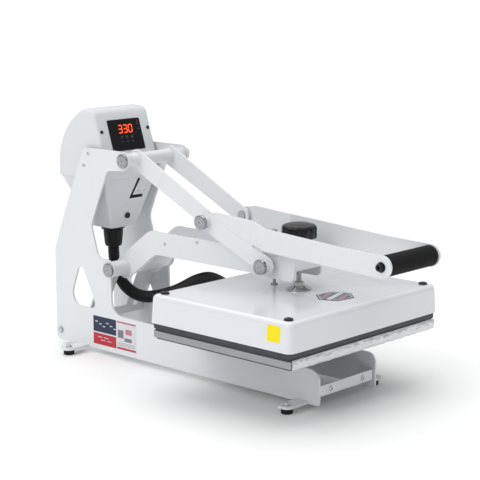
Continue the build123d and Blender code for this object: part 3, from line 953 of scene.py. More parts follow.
class ThreadTree(Tree):
    """A rod with a helical ridge, standing at the host's one point."""

    def __init__(self) -> None:
        """Builds the tree."""
        super().__init__("threaded_rod", {"Core": "NodeSocketFloat", "Ridge": "NodeSocketFloat",
                                          "Pitch": "NodeSocketFloat", "Height": "NodeSocketFloat"})
        given = self.given
        turns = self.arithmetic("DIVIDE", given["Height"], given["Pitch"])
        helix = self.node("GeometryNodeCurveSpiral", Resolution=24, Rotations=turns,
                          Start_Radius=given["Core"], End_Radius=given["Core"], Height=given["Height"])
        upright = self.node("GeometryNodeSetCurveNormal", "Z_UP", Curve=helix.outputs[0])
        section = self.node("GeometryNodeCurvePrimitiveCircle", Resolution=4, Radius=given["Ridge"])
        ridge = self.node("GeometryNodeCurveToMesh", Curve=upright.outputs[0],
                          Profile_Curve=section.outputs[0], Fill_Caps=True)
        rod = self.node("GeometryNodeMeshCylinder", Vertices=32, Radius=given["Core"],
                        Depth=given["Height"])
        half = self.node("ShaderNodeCombineXYZ", Z=self.arithmetic("DIVIDE", given["Height"], 2.0))
        raised = self.node("GeometryNodeTransform", Geometry=rod.outputs[0],
                           Translation=half.outputs[0])
        joined = self.node("GeometryNodeJoinGeometry", Geometry=ridge.outputs[0])
        self.tree.links.new(raised.outputs[0], joined.inputs[0])
        placed = self.node("GeometryNodeInstanceOnPoints", Points=given["Geometry"],
                           Instance=joined.outputs[0])
        self.close(placed.outputs[0])

    def stand(self, name: str, foot: Vector, finish: Finish, **values: object) -> bpy.types.Object:
        """Stands a threaded rod on a point.

        Args:
            name: the new piece's name.
            foot: its lower end.
            finish: its finish.
            values: the tree's named inputs.

        Returns:
            The new piece.
        """
        mesh = bpy.data.meshes.new(name + "_foot")
        mesh.from_pydata([tuple(foot)], [], [])
        return self.run(new_piece(name + "_foot", mesh), name, finish, **values)


# ------------------------------------------------------------------------------- fasteners
@dataclass(frozen=True)
class SocketScrew:
    """A round-headed screw with a hexagon socket, facing +Z."""

    radius: float
    height: float
    socket: float
    depth: float
    crown: float = 0.5
    sides: int = 24

    def build(self) -> bpy.types.Object:
        """Makes the head at the origin.

        Returns:
            The object.
        """
        rim = self.height * (1 - self.crown)
        rings = [circle(self.radius, 0, self.sides), circle(self.radius, rim, self.sides)]
        for i in range(1, 5):
            angle = pi / 2 * i / 4
            shrink = 1 - (1 - self.socket * 1.25 / self.radius) * (1 - cos(angle))
            rings.append(circle(self.radius * shrink, rim + self.height * self.crown * sin(angle),
                                self.sides))
        rings.append(hexagon(self.socket, self.height, self.sides))
        rings.append(hexagon(self.socket, self.height - self.depth, self.sides))
        bm = bmesh.new()
        rings_to_faces(bm, rings)
        return from_bmesh("socket_screw", bm)


@dataclass(frozen=True)
class HexHead:
    """A hexagon head on a washer, facing +Z."""

    radius: float
    height: float
    washer: float
    washer_height: float
    sides: int = 24

    def build(self) -> bpy.types.Object:
        """Makes the head at the origin.

        Returns:
            The object.
        """
        top = self.washer_height + self.height
        soft = 0.25 * MM
        rings = [
            circle(self.washer, 0, self.sides),
            circle(self.washer, self.washer_height - soft, self.sides),
            circle(self.washer - soft, self.washer_height, self.sides),
            hexagon(self.radius, self.washer_height, self.sides),
            hexagon(self.radius, top - self.height * 0.18, self.sides),
            circle(self.radius * 0.86, top, self.sides),
            circle(self.radius * 0.5, top, self.sides),
            circle(self.radius * 0.42, top - 0.4 * MM, self.sides),
        ]
        bm = bmesh.new()
        rings_to_faces(bm, rings)
        return from_bmesh("hex_head", bm)


@dataclass(frozen=True)
class CapScrew:
    """A cylinder-headed screw with a hexagon socket on a washer, facing +Z."""

    radius: float = 8 * MM
    washer: float = 11 * MM
    washer_thick: float = 1.5 * MM
    height: float = 9.9 * MM
    socket: float = 4.4 * MM
    sides: int = 30

    def build(self) -> bpy.types.Object:
        """Makes the head at the origin.

        Returns:
            The object.
        """
        soft = 0.3 * MM
        rings = [
            circle(self.washer, 0, self.sides),
            circle(self.washer, self.washer_thick - soft, self.sides),
            circle(self.washer - soft, self.washer_thick, self.sides),
            circle(self.radius, self.washer_thick, self.sides),
            circle(self.radius, self.height - 3 * soft, self.sides),
            circle(self.radius - 2 * soft, self.height - 0.1 * MM, self.sides),
            circle(self.radius - 8 * soft, self.height, self.sides),
            hexagon(self.socket, self.height - soft, self.sides),
            hexagon(self.socket, self.height - 4.9 * MM, self.sides),
        ]
        bm = bmesh.new()
        rings_to_faces(bm, rings)
        return from_bmesh("cap_screw", bm)


@dataclass(frozen=True)
class TurnedPin:
    """A pin along X with a faced and grooved head at each end."""

    shank: float
    head: float
    head_thick: float
    chamfer: float = 1.4 * MM

    def head_profile(self, seat: float) -> list[tuple[float, float]]:
        """Profile of one head outwards from the face that it sits on.

        Args:
            seat: distance of that face from the pin's middle.

        Returns:
            (radius, distance) points, ending on the axis.
        """
        face = seat + self.head_thick
        groove = self.head * 0.62
        return [
            (self.head - 0.4 * MM, seat), (self.head, seat + 0.4 * MM),
            (self.head, face - self.chamfer), (self.head - self.chamfer * 0.4, face - self.chamfer * 0.25),
            (self.head - self.chamfer, face), (groove + 0.5 * MM, face - 0.1 * MM),
            (groove, face - 0.6 * MM), (groove - 0.5 * MM, face - 0.1 * MM),
            (2.2 * MM, face - 0.15 * MM), (1.4 * MM, face - 1.2 * MM), (TIP, face - 1.6 * MM),
        ]

    def build(self, name: str, at: Vector, seat: float) -> bpy.types.Object:
        """Makes the whole pin.

        Args:
            name: the pin's name.
            at: a point on its axis, on the middle plane.
            seat: distance of each head's seat from the middle plane.

        Returns:
            The object.
        """
        outer = [(self.shank, seat), *self.head_profile(seat)]
        profile = [(r, -d) for r, d in reversed(outer)] + outer
        return lathe(name, profile, axis_basis(Vector((0, at.y, at.z)), Facing.RIGHT.vector), 56)

    def build_stub(self, name: str, at: Vector, side: int, root: float, seat: float) -> bpy.types.Object:
        """Makes one end only, from a blind root outwards.

        Args:
            name: the stub's name.
            at: a point on its axis, on the middle plane.
            side: 1 to the right, -1 to the left.
            root: distance of its inner end.
            seat: distance of its head's seat.

        Returns:
            The object.
        """
        profile = [(TIP, root), (self.shank, root), (self.shank, seat), *self.head_profile(seat)]
        return lathe(name, profile, axis_basis(Vector((0, at.y, at.z)), Vector((side, 0, 0))), 56)


# ------------------------------------------------------------------------------- studio
@dataclass
class Studio:
    """Camera, soft lights and floor."""

    eye: Place = (-2.39606, -2.23246, 0.93504)
    turn: float = radians(47.29)
    dip: float = radians(10.68)
    lens: float = 108.488
    floor_reach: float = 120.0

    def camera(self) -> None:
        """The viewing camera."""
        data = bpy.data.cameras.new("camera")
        data.lens = self.lens
        data.sensor_width = 36.0
        data.clip_end = 300.0
        camera = bpy.data.objects.new("camera", data)
        camera.location = self.eye
        camera.rotation_euler = (pi / 2 - self.dip, 0, -self.turn)
        bpy.context.scene.collection.objects.link(camera)
        bpy.context.scene.camera = camera

    def soft_sun(self, name: str, toward: Place, spread: float, strength: float) -> None:
        """One wide, distant light, so that near and far floor are lit alike.

        Args:
            name: the light's name.
            toward: the way from the machine to the light.
            spread: its angular size.
            strength: its irradiance.
        """
        data = bpy.data.lights.new(name, "SUN")
        data.angle = spread
        data.energy = strength
        light = bpy.data.objects.new(name, data)
        light.rotation_euler = Vector(toward).to_track_quat("Z", "Y").to_euler()
        bpy.context.scene.collection.objects.link(light)

    def surround(self) -> None:
        """A pale sky that is darker low down in front, so that metal has something to show."""
        world = bpy.data.worlds.new("surround")
        world.use_nodes = True
        nodes, links = world.node_tree.nodes, world.node_tree.links
        place = nodes.new("ShaderNodeTexCoord")
        gradient = nodes.new("ShaderNodeSeparateXYZ")
        ramp = nodes.new("ShaderNodeValToRGB")
        ramp.color_ramp.elements[0].position = 0.0
        ramp.color_ramp.elements[0].color = (0.42, 0.44, 0.46, 1)
        ramp.color_ramp.elements[1].position = 0.7
        ramp.color_ramp.elements[1].color = (1, 1, 1, 1)
        links.new(place.outputs["Generated"], gradient.inputs[0])
        links.new(gradient.outputs["Z"], ramp.inputs[0])
        links.new(ramp.outputs[0], nodes["Background"].inputs["Color"])
        nodes["Background"].inputs["Strength"].default_value = 0.8
        bpy.context.scene.world = world

    def floor(self) -> None:
        """A plain pale floor."""
        half = self.floor_reach / 2
        bm = bmesh.new()
        bm.faces.new([bm.verts.new((x * half, y * half, 0)) for x, y in ((-1, -1), (1, -1), (1, 1), (-1, 1))])
        floor = from_bmesh("studio_floor", bm)
        floor.data.materials.append(Finish("floor_paper", "white_enamel", (0.93, 0.93, 0.93), 0.6,
                                           drift=0.0).material())

    def build(self) -> None:
        """Camera, lights, surround and floor."""
        self.camera()
        self.surround()
        self.floor()
        self.soft_sun("key", (-0.8, 0.1, 0.6), radians(40), 0.75)
        self.soft_sun("overhead", (0.1, 0.25, 1.0), radians(70), 1.1)
        bpy.context.scene.view_settings.view_transform = "Standard"


# ------------------------------------------------------------------------------- hose
@dataclass
class CableHose:
    """The corrugated hose from the control box's gland to the head cover.

    The route is in Y and Z on the middle plane, in metres.
    """

    route: tuple[tuple[float, float], ...] = (
        (0.410, 0.252), (0.410, 0.212), (0.390, 0.170), (0.353, 0.143), (0.304, 0.135),
        (0.245, 0.148), (0.179, 0.172), (0.116, 0.208), (0.060, 0.222), (0.008, 0.1995),
    )
    diameter: float = 30 * MM
    length: float = 0.4944
    rib_depth: float = 1.0 * MM
    rib_pitch: float = 5.4 * MM
    bends_between: tuple[int, int] = (3, 7)

    def line(self) -> list[Vector]:
        """Points read from the smooth spline whose control points are the route.

        Returns:
            The points from the gland to the cover.
        """
        data = bpy.data.curves.new("hose_route", "CURVE")
        data.dimensions = "3D"
        data.resolution_u = 24
        spline = data.splines.new("NURBS")
        spline.points.add(len(self.route) - 1)
        for point, (y, z) in zip(spline.points, self.route):
            point.co = (0, y, z, 1)
        spline.order_u = 3
        spline.use_endpoint_u = True
        holder = bpy.data.objects.new("hose_route", data)
        bpy.context.scene.collection.objects.link(holder)
        bpy.context.view_layer.update()
        evaluated = holder.evaluated_get(bpy.context.evaluated_depsgraph_get())
        mesh = bpy.data.meshes.new_from_object(evaluated)
        points = [v.co.copy() for v in mesh.vertices]
        bpy.data.meshes.remove(mesh)
        bpy.data.objects.remove(holder)
        return points

    def build(self, tubes: RibbedTubeTree) -> None:
        """The hose, on a fixed route from the gland to the cover.

        Args:
            tubes: the tree that makes ribbed tubes.
        """
        path = self.line()
        hose = tubes.follow("cable_conduit", path, False, HOSE, Radius=self.diameter / 2 - self.rib_depth,
                            Rib_Depth=self.rib_depth, Rib_Pitch=self.rib_pitch, Rings_per_Rib=6.0, Sides=28)
        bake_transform(hose)
        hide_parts("cable_hose")
        LOG.info("cable_conduit bends between frame and platen_arm")


# ------------------------------------------------------------------------------- labels
@dataclass(frozen=True)
class Block:
    """One printed block of a label, measured from the label's middle."""

    across: float
    up: float
    width: float
    height: float
    finish: Finish
    lift: float = 0.0


@dataclass
class Label:
    """A printed film: a backing with blocks of colour on it and no lettering."""

    name: str
    at: Matrix
    width: float
    height: float
    backing: Finish
    blocks: Sequence[Block]
    thick: float = 0.25 * MM
    ink: float = 0.06 * MM
    corner: float = 1.5 * MM

    def build(self, body: Body) -> bpy.types.Object:
        """Makes the label as one piece.

        Args:
            body: what it is stuck to.

        Returns:
            The object.
        """
        finishes = [self.backing]
        bm = bmesh.new()
        add_plaque(bm, self.at, self.width, self.height, 0.02 * MM, self.thick, self.corner, 0.05 * MM)
        for block in self.blocks:
            if block.finish not in finishes:
                finishes.append(block.finish)
            spot = self.at @ Matrix.Translation((block.across, block.up, 0))
            low = self.thick - 0.02 * MM
            radius = min(0.5 * MM, block.height * 0.4, block.width * 0.4)
            add_plaque(bm, spot, block.width, block.height, low, self.thick + self.ink * (1 + block.lift),
                       radius, 0.02 * MM, finishes.index(block.finish))
        label = from_bmesh(self.name, bm)
        for finish in finishes:
            label.data.materials.append(finish.material())
        return settle(label, body, None)


# ------------------------------------------------------------------------------- frame
@dataclass
class MachineFrame:
    """Side plates, cross pieces, feet and the lower platen."""

    edge: float = 0.8 * MM
    plate_outer: float = 100 * MM
    crossmember_face: float = -0.338
    foot_radius: float = 13.5 * MM
    label_size: tuple[float, float] = (154 * MM, 73 * MM)
    label_middle: tuple[float, float] = (0.301, 0.0605)
    foil_low: float = 130 * MM
    foil_high: float = 152.6 * MM
    foil_columns: int = 230
    foil_rows: int = 14

    def plates(self) -> None:
        """Sheet and bar pieces with rounded edges."""
        for node in ("side_plate_left", "side_plate_right", "front_crossmember", "rear_cross_panel"):
            settle(bevelled_copy(node, node + "_coated", self.edge), Body.FRAME, WHITE, node)
        settle(bevelled_copy("platen_channels", "platen_channels_coated", 0.5 * MM), Body.FRAME, WHITE,
               "platen_channels")
        settle(bevelled_copy("platen_tray", "platen_tray_edged", 0.5 * MM), Body.FRAME, TRAY, "platen_tray")
        settle(bevelled_copy("lower_platen", "lower_platen_milled", 0.4 * MM), Body.FRAME, PLATEN,
               "lower_platen")
        pad = settle(bevelled_copy("platen_pad", "silicone_pad", 0.8 * MM, 3), Body.FRAME, SILICONE,
                     "platen_pad")
        dress_nodes(WHITE, "tie_bars")

    def feet(self, fastener: FastenerTree) -> None:
        """Rubber feet and the bolts that hold them.

        Args:
            fastener: the tree that sets them.
        """
        low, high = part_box("rubber_feet")
        reach = self.foot_radius
        feet = [Vector((x, y, 0)) for x in (low.x + reach, high.x - reach)
                for y in (low.y + reach, high.y - reach)]
        foot = lathe("foot", [(2.6 * MM, 4 * MM), (2.8 * MM, 0.9 * MM), (6 * MM, 0.6 * MM), (10 * MM, 0),
                              (12.2 * MM, 0), (12.8 * MM, 0.5 * MM), (13.3 * MM, 11.4 * MM),
                              (12.9 * MM, 12.5 * MM), (11.6 * MM, high.z), (3.4 * MM, high.z)],
                     Matrix.Identity(4), 40)
        settle(fastener.place("moulded_feet", foot, RUBBER, feet, [Facing.UP.vector] * 4), Body.FRAME,
               RUBBER, "rubber_feet")
        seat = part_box("foot_screws")[1].z - 5 * MM
        head = HexHead(6.6 * MM, 3.9 * MM, 8.6 * MM, 1.1 * MM).build()
        settle(fastener.place("foot_bolts", head, ZINC, [Vector((p.x, p.y, seat)) for p in feet],
                              [Facing.UP.vector] * 4, (0.2, 0.6, 0.1, 0.4)), Body.FRAME, ZINC, "foot_screws")

    def side_screws(self, fastener: FastenerTree) -> None:
        """Tie bolts and hood screws on the outer faces of the side plates.

        Args:
            fastener: the tree that sets them.
        """
        sides = (Facing.LEFT.vector, Facing.RIGHT.vector)
        tie = middle("tie_bolts")
        bolt = HexHead(7.6 * MM, 4.4 * MM, 9.2 * MM, 1.1 * MM).build()
        settle(fastener.place("tie_bolt_heads", bolt, ZINC,
                              [Vector((s.x * self.plate_outer, tie.y, tie.z)) for s in sides], sides,
                              (0.2, 0.5)), Body.FRAME, ZINC, "tie_bolts")
        low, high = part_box("frame_rivets")
        reach = 4.5 * MM
        rivets = [(s, y, z) for s in sides for y, z in ((low.y + reach, high.z - reach),
                                                        (high.y - reach, low.z + reach))]
        screw = SocketScrew(4.6 * MM, 2.3 * MM, 1.9 * MM, 1.5 * MM, crown=0.8).build()
        settle(fastener.place("hood_side_screws", screw, ZINC,
                              [Vector((s.x * self.plate_outer, y, z)) for s, y, z in rivets],
                              [s for s, _, _ in rivets]), Body.FRAME, ZINC, "frame_rivets")

    def front_screws(self, fastener: FastenerTree) -> None:
        """The two screws on the front crossmember.

        Args:
            fastener: the tree that sets them.
        """
        low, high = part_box("crossmember_screws")
        radius = 6 * MM
        height = (low.z + high.z) / 2
        spots = [Vector((x, self.crossmember_face, height)) for x in (low.x + radius, high.x - radius)]
        screw = SocketScrew(radius, 2.6 * MM, 2.4 * MM, 1.7 * MM, crown=0.7).build()
        settle(fastener.place("crossmember_screw_heads", screw, ZINC, spots, [Facing.FRONT.vector] * 2),
               Body.FRAME, ZINC, "crossmember_screws")

    def pivots(self) -> None:
        """The two pins that the arm and the link turn on."""
        pin = TurnedPin(shank=9.9 * MM, head=17 * MM, head_thick=6 * MM)
        for node in ("link_pivot_pin", "arm_pivot_pin"):
            settle(pin.build(node + "_turned", middle(node), self.plate_outer + 0.05 * MM), Body.FRAME,
                   BRIGHT, node)

    def foil(self) -> None:
        """The crinkled metal film folded over the lower platen's front edge."""
        low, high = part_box("lower_platen")
        half = (high.x - low.x) / 2 - 4 * MM
        rows = []
        bm = bmesh.new()
        for i in range(self.foil_rows + 1):
            v = i / self.foil_rows
            row = []
            for j in range(self.foil_columns + 1):
                x = -half + 2 * half * j / self.foil_columns
                z = self.foil_low + (self.foil_high - self.foil_low) * v
                spot = Vector((x * 38, z * 55, 3.1))
                crease = abs(noise.noise(spot)) * 3.2 + abs(noise.noise(spot * 3.1)) * 1.4
                belly = sin(pi * v) * 1.5 + 0.35
                hem = noise.noise(Vector((x * 60, 7.7, 0))) * 1.4 * MM * (1 - v)
                row.append(bm.verts.new((x, low.y - (belly + crease * (0.35 + 0.65 * sin(pi * v))) * MM,
                                         z + hem)))
            rows.append(row)
        for one, two in zip(rows, rows[1:]):
            for j in range(self.foil_columns):
                bm.faces.new((one[j], one[j + 1], two[j + 1], two[j]))
        mesh = bpy.data.meshes.new("platen_edge_foil")
        bm.to_mesh(mesh)
        bm.free()
        foil = smooth(new_piece("platen_edge_foil", mesh), radians(24))
        wall = foil.modifiers.new("wall", "SOLIDIFY")
        wall.thickness = 0.15 * MM
        settle(applied(foil), Body.FRAME, FOIL)

    def rating_label(self) -> None:
        """The printed label low on the left side plate."""
        y, z = self.label_middle
        at = basis(Vector((-self.plate_outer, y, z)), Vector((0, -1, 0)), Vector((0, 0, 1)))
        blocks = [
            Block(-35 * MM, 16 * MM, 82 * MM, 39 * MM, INK_NAVY),
            Block(-35 * MM, -21 * MM, 82 * MM, 28 * MM, INK_RED),
            Block(42 * MM, 33 * MM, 66 * MM, 3 * MM, INK_RED),
            Block(42 * MM, -31.5 * MM, 66 * MM, 5 * MM, INK_RED),
            Block(22 * MM, 4 * MM, 20 * MM, 20 * MM, INK_GREY),
            Block(50 * MM, 12 * MM, 22 * MM, 13 * MM, INK_ROSE),
            Block(48 * MM, -8 * MM, 26 * MM, 9 * MM, INK_GREY),
        ]
        blocks += [Block((-64 + 13 * i) * MM, (22 - 5 * (i % 3)) * MM, 9 * MM, 2.2 * MM, INK_PALE, 1)
                   for i in range(6)]
        blocks += [Block((-52 + 11 * i) * MM, (-16 - 7 * (i % 2)) * MM, 16 * MM, 1.6 * MM, INK_PALE, 1)
                   for i in range(4)]
        blocks += [Block(42 * MM, (-18 - 3.2 * i) * MM, 58 * MM, 0.9 * MM, INK_GREY) for i in range(3)]
        Label("rating_label", at, *self.label_size, INK_PALE, blocks).build(Body.FRAME)

    def build(self, fastener: FastenerTree) -> None:
        """The whole frame.

        Args:
            fastener: the tree that sets what repeats.
        """
        self.plates()
        self.feet(fastener)
        self.side_screws(fastener)
        self.front_screws(fastener)
        self.pivots()
        self.foil()
        self.rating_label()


# ------------------------------------------------------------------------------- control box
@dataclass
class ControlBox:
    """Hood, display, hopper, gland and rear fittings."""

    slope_foot: tuple[float, float] = (0.343, 0.488)
    slope_head: tuple[float, float] = (0.3735, 0.582)
    display_along: float = 48 * MM
    display_size: tuple[float, float] = (106 * MM, 78 * MM)
    film_thick: float = 1.6 * MM
    digit: tuple[float, float] = (11 * MM, 18.5 * MM)
    digit_pitch: float = 16.4 * MM
    digits_up: float = 14.5 * MM
    stroke: float = 2.5 * MM
    slant: float = radians(5)
    shown: str = "330"
    key_pitch: float = 17 * MM
    key_up: float = -6 * MM
    dash_up: float = -17 * MM
    side_dashes: tuple[float, ...] = (24 * MM, 12 * MM)
    side_dash_across: float = 44 * MM
    side_lamps: tuple[float, ...] = (33 * MM, 29 * MM)
    side_lamp_across: float = 43 * MM
    hood_screw_up: float = 60 * MM
    hopper_front: tuple[tuple[float, float], ...] = ((0.370, 0.304), (0.338, 0.4288))
    slot_screw_places: tuple[tuple[float, float], ...] = ((0.029, 0.3935), (0.050, 0.3935))

    def on_slope(self, along: float, proud: float = 0.0, across: float = 0.0) -> Matrix:
        """A place on the display slope.

        Args:
            along: distance up the slope.
            proud: distance off it.
            across: distance to the right.

        Returns:
            Its matrix, facing the operator.
        """
        up = Vector((0, self.slope_head[0] - self.slope_foot[0], self.slope_head[1] - self.slope_foot[1]))
        up.normalize()
        right = Vector((1, 0, 0))
        origin = Vector((across, *self.slope_foot)) + up * along + right.cross(up) * proud
        return basis(origin, right, up)

    def shells(self) -> None:
        """Hood and hopper."""
        settle(bevelled_copy("control_hood", "hood_shell", 0.5 * MM), Body.FRAME, HOOD, "control_hood")
        settle(bevelled_copy("control_hopper", "hopper_shell", 0.5 * MM), Body.FRAME, HOOD, "control_hopper")
        dress_nodes(BOARD, "controller_board")
        low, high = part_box("hopper_plug")
        radius = (high.x - low.x) / 2
        at = axis_basis(Vector(((low.x + high.x) / 2, high.y, (low.z + high.z) / 2)), Facing.FRONT.vector)
        deep = high.y - low.y
        plug = lathe("blanking_plug", [(TIP, 0), (radius * 0.8, 0), (radius * 0.86, deep * 0.8),
                                       (radius, deep * 0.82), (radius, deep * 0.92), (radius * 0.8, deep),
                                       (TIP, deep * 0.97)], at, 36)
        settle(plug, Body.FRAME, PLASTIC, "hopper_plug")

    def slot_screws(self, fastener: FastenerTree) -> None:
        """The two small screws beside the hopper's slot.

        Args:
            fastener: the tree that sets them.
        """
        (low_y, low_z), (high_y, high_z) = self.hopper_front
        lean = atan2(low_y - high_y, high_z - low_z)
        facing = Vector((0, -cos(lean), -sin(lean)))
        spots = []
        for x, z in self.slot_screw_places:
            y = low_y + (high_y - low_y) * (z - low_z) / (high_z - low_z)
            spots.append(Vector((x, y + 0.05 * MM, z)))
        screw = SocketScrew(2.6 * MM, 1.3 * MM, 1.1 * MM, 0.8 * MM, crown=0.7, sides=18).build()
        settle(fastener.place("slot_side_screws", screw, ZINC, spots, [facing] * 2), Body.FRAME, ZINC)

    def segment(self, long: float) -> bpy.types.Object:
        """One lit bar with pointed ends, along local X.

        Args:
            long: its length.

        Returns:
            The object.
        """
        half, wide = long / 2, self.stroke / 2
        outline = [(-half, 0), (-half + wide, -wide), (half - wide, -wide), (half, 0),
                   (half - wide, wide), (-half + wide, wide)]
        bm = bmesh.new()
        rings_to_faces(bm, [[Vector((x * s, y * s, z)) for x, y in outline]
                            for z, s in ((0, 1), (0.12 * MM, 1), (0.2 * MM, 0.94))])
        return from_bmesh("segment", bm)

    def digits(self, fastener: FastenerTree) -> None:
        """Lit seven-segment digits, the upright bars one piece and the level bars another.

        Args:
            fastener: the tree that sets the bars.
        """
        wide, high = self.digit
        bars = {  # name: (across, up, upright)
            "a": (0, 1, False), "g": (0, 0, False), "d": (0, -1, False),
            "f": (-1, 0.5, True), "b": (1, 0.5, True), "e": (-1, -0.5, True), "c": (1, -0.5, True),
        }
        lit = {"0": "abcdef", "3": "abcdg"}
        places: dict[bool, list[Vector]] = {False: [], True: []}
        for k, sign in enumerate(self.shown):
            start = (k - (len(self.shown) - 1) / 2) * self.digit_pitch
            for bar in lit[sign]:
                across, up, upright = bars[bar]
                lean = up * high / 2 * sin(self.slant)
                spot = self.on_slope(self.display_along + self.digits_up + up * high / 2,
                                     self.film_thick + 0.12 * MM, start + across * wide / 2 + lean)
                places[upright].append(spot.translation)
        normal = self.on_slope(0).to_3x3() @ Vector((0, 0, 1))
        for upright, long in ((False, wide - 0.4 * MM), (True, high / 2 - 0.4 * MM)):
            spots = places[upright]
            spin = pi / 2 - self.slant if upright else 0.0
            name = "lit_upright_bars" if upright else "lit_level_bars"
            settle(fastener.place(name, self.segment(long), LED, spots, [normal] * len(spots),
                                  [spin] * len(spots)), Body.FRAME, LED)

    def panel(self, fastener: FastenerTree) -> None:
        """Display film, lens, keys and the hood's screws.

        Args:
            fastener: the tree that sets what repeats.
        """
        along = self.display_along
        bm = bmesh.new()
        add_plaque(bm, self.on_slope(along), *self.display_size, 0.05 * MM, self.film_thick, 4 * MM, 0.5 * MM)
        settle(from_bmesh("display_fascia", bm), Body.FRAME, FILM, "display_panel")
        bm = bmesh.new()
        add_plaque(bm, self.on_slope(along + self.digits_up), 58 * MM, 27 * MM, self.film_thick - 0.1 * MM,
                   self.film_thick + 0.1 * MM, 2 * MM, 0.1 * MM)
        settle(from_bmesh("display_lens_window", bm), Body.FRAME, LENS)
        normal = self.on_slope(0).to_3x3() @ Vector((0, 0, 1))
        ring = lathe("key", [(3.1 * MM, 0), (3.1 * MM, 0.12 * MM), (3.7 * MM, 0.12 * MM), (3.7 * MM, 0)],
                     Matrix.Identity(4), 28)
        face = self.film_thick
        columns = (-self.key_pitch, 0, self.key_pitch)
        keys = [self.on_slope(along + self.key_up, face, x).translation for x in columns]
        settle(fastener.place("key_rings", ring, KEY_INK, keys, [normal] * 3), Body.FRAME, KEY_INK)
        bm = bmesh.new()
        add_plaque(bm, Matrix.Identity(4), 6 * MM, 2 * MM, 0, 0.12 * MM, 0.8 * MM, 0.04 * MM)
        dashes = [self.on_slope(along + self.dash_up, face, x).translation for x in columns]
        dashes += [self.on_slope(along + up, face, self.side_dash_across).translation
                   for up in self.side_dashes]
        settle(fastener.place("key_dashes", from_bmesh("dash", bm), KEY_INK, dashes, [normal] * 5),
               Body.FRAME, KEY_INK)
        dot = lathe("dot", [(TIP, 0), (1.1 * MM, 0), (1.1 * MM, 0.12 * MM), (TIP, 0.14 * MM)],
                    Matrix.Identity(4), 16)
        lamps = [self.on_slope(along + up, face, self.side_lamp_across).translation
                 for up in self.side_lamps]
        settle(fastener.place("key_lamps", dot, KEY_RED, lamps, [normal] * 2), Body.FRAME, KEY_RED)
        low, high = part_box("hood_screws")
        reach = (high.x - low.x) / 2 - 4.6 * MM
        screw = SocketScrew(4.6 * MM, 2.2 * MM, 2 * MM, 1.4 * MM, crown=0.8).build()
        spots = [self.on_slope(self.hood_screw_up, 0, x).translation for x in (-reach, reach)]
        settle(fastener.place("hood_front_screws", screw, BLACK_STEEL, spots, [normal] * 2), Body.FRAME,
               BLACK_STEEL, "hood_screws")

    def gland(self) -> None:
        """Strain relief under the hopper: hexagon flange, ribbed dome nut and seal."""
        low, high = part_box("cable_gland")
        centre = middle("cable_gland")
        at = Matrix.Translation((centre.x, centre.y, 0))
        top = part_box("control_hopper")[0].z - 0.05 * MM
        flange = top - 9 * MM
        sides = 48
        rings = [circle(15.2 * MM, low.z + 3 * MM, sides), circle(15.2 * MM, low.z, sides),
                 circle(19.2 * MM, low.z, sides), circle(20.4 * MM, low.z + 2 * MM, sides)]
        for z, radius in ((low.z + 6 * MM, 20.8 * MM), (flange - 12 * MM, 23.2 * MM),
                          (flange - 2 * MM, 23.6 * MM)):
            ring = circle(radius, z, sides)
            for i, point in enumerate(ring):
                if i % 4 in (1, 2):
                    point.xy = point.xy * 1.045
            rings.append(ring)
        rings += [circle(23 * MM, flange, sides), hexagon(28.4 * MM, flange, sides),
                  hexagon(29.8 * MM, flange + 1.2 * MM, sides), hexagon(29.8 * MM, top - 1.2 * MM, sides),
                  hexagon(28.4 * MM, top, sides), circle(13.8 * MM, top, sides),
                  circle(13.8 * MM, high.z, sides)]
        bm = bmesh.new()
        rings_to_faces(bm, [[at @ p for p in ring] for ring in rings])
        settle(from_bmesh("gland_body", bm), Body.FRAME, PLASTIC, "cable_gland")

    def rear(self) -> None:
        """Mains inlet and rocker switch."""
        settle(bevelled_copy("mains_inlet", "inlet_body", 0.3 * MM), Body.FRAME, PLASTIC, "mains_inlet")
        settle(bevelled_copy("rocker_bezel", "switch_bezel", 0.4 * MM), Body.FRAME, PLASTIC, "rocker_bezel")
        settle(bevelled_copy("power_rocker", "switch_rocker", 0.4 * MM), Body.ROCKER, PLASTIC, "power_rocker")

    def build(self, fastener: FastenerTree) -> None:
        """The whole control box.

        Args:
            fastener: the tree that sets what repeats.
        """
        self.shells()
        self.slot_screws(fastener)
        self.panel(fastener)
        self.digits(fastener)
        self.gland()
        self.rear()


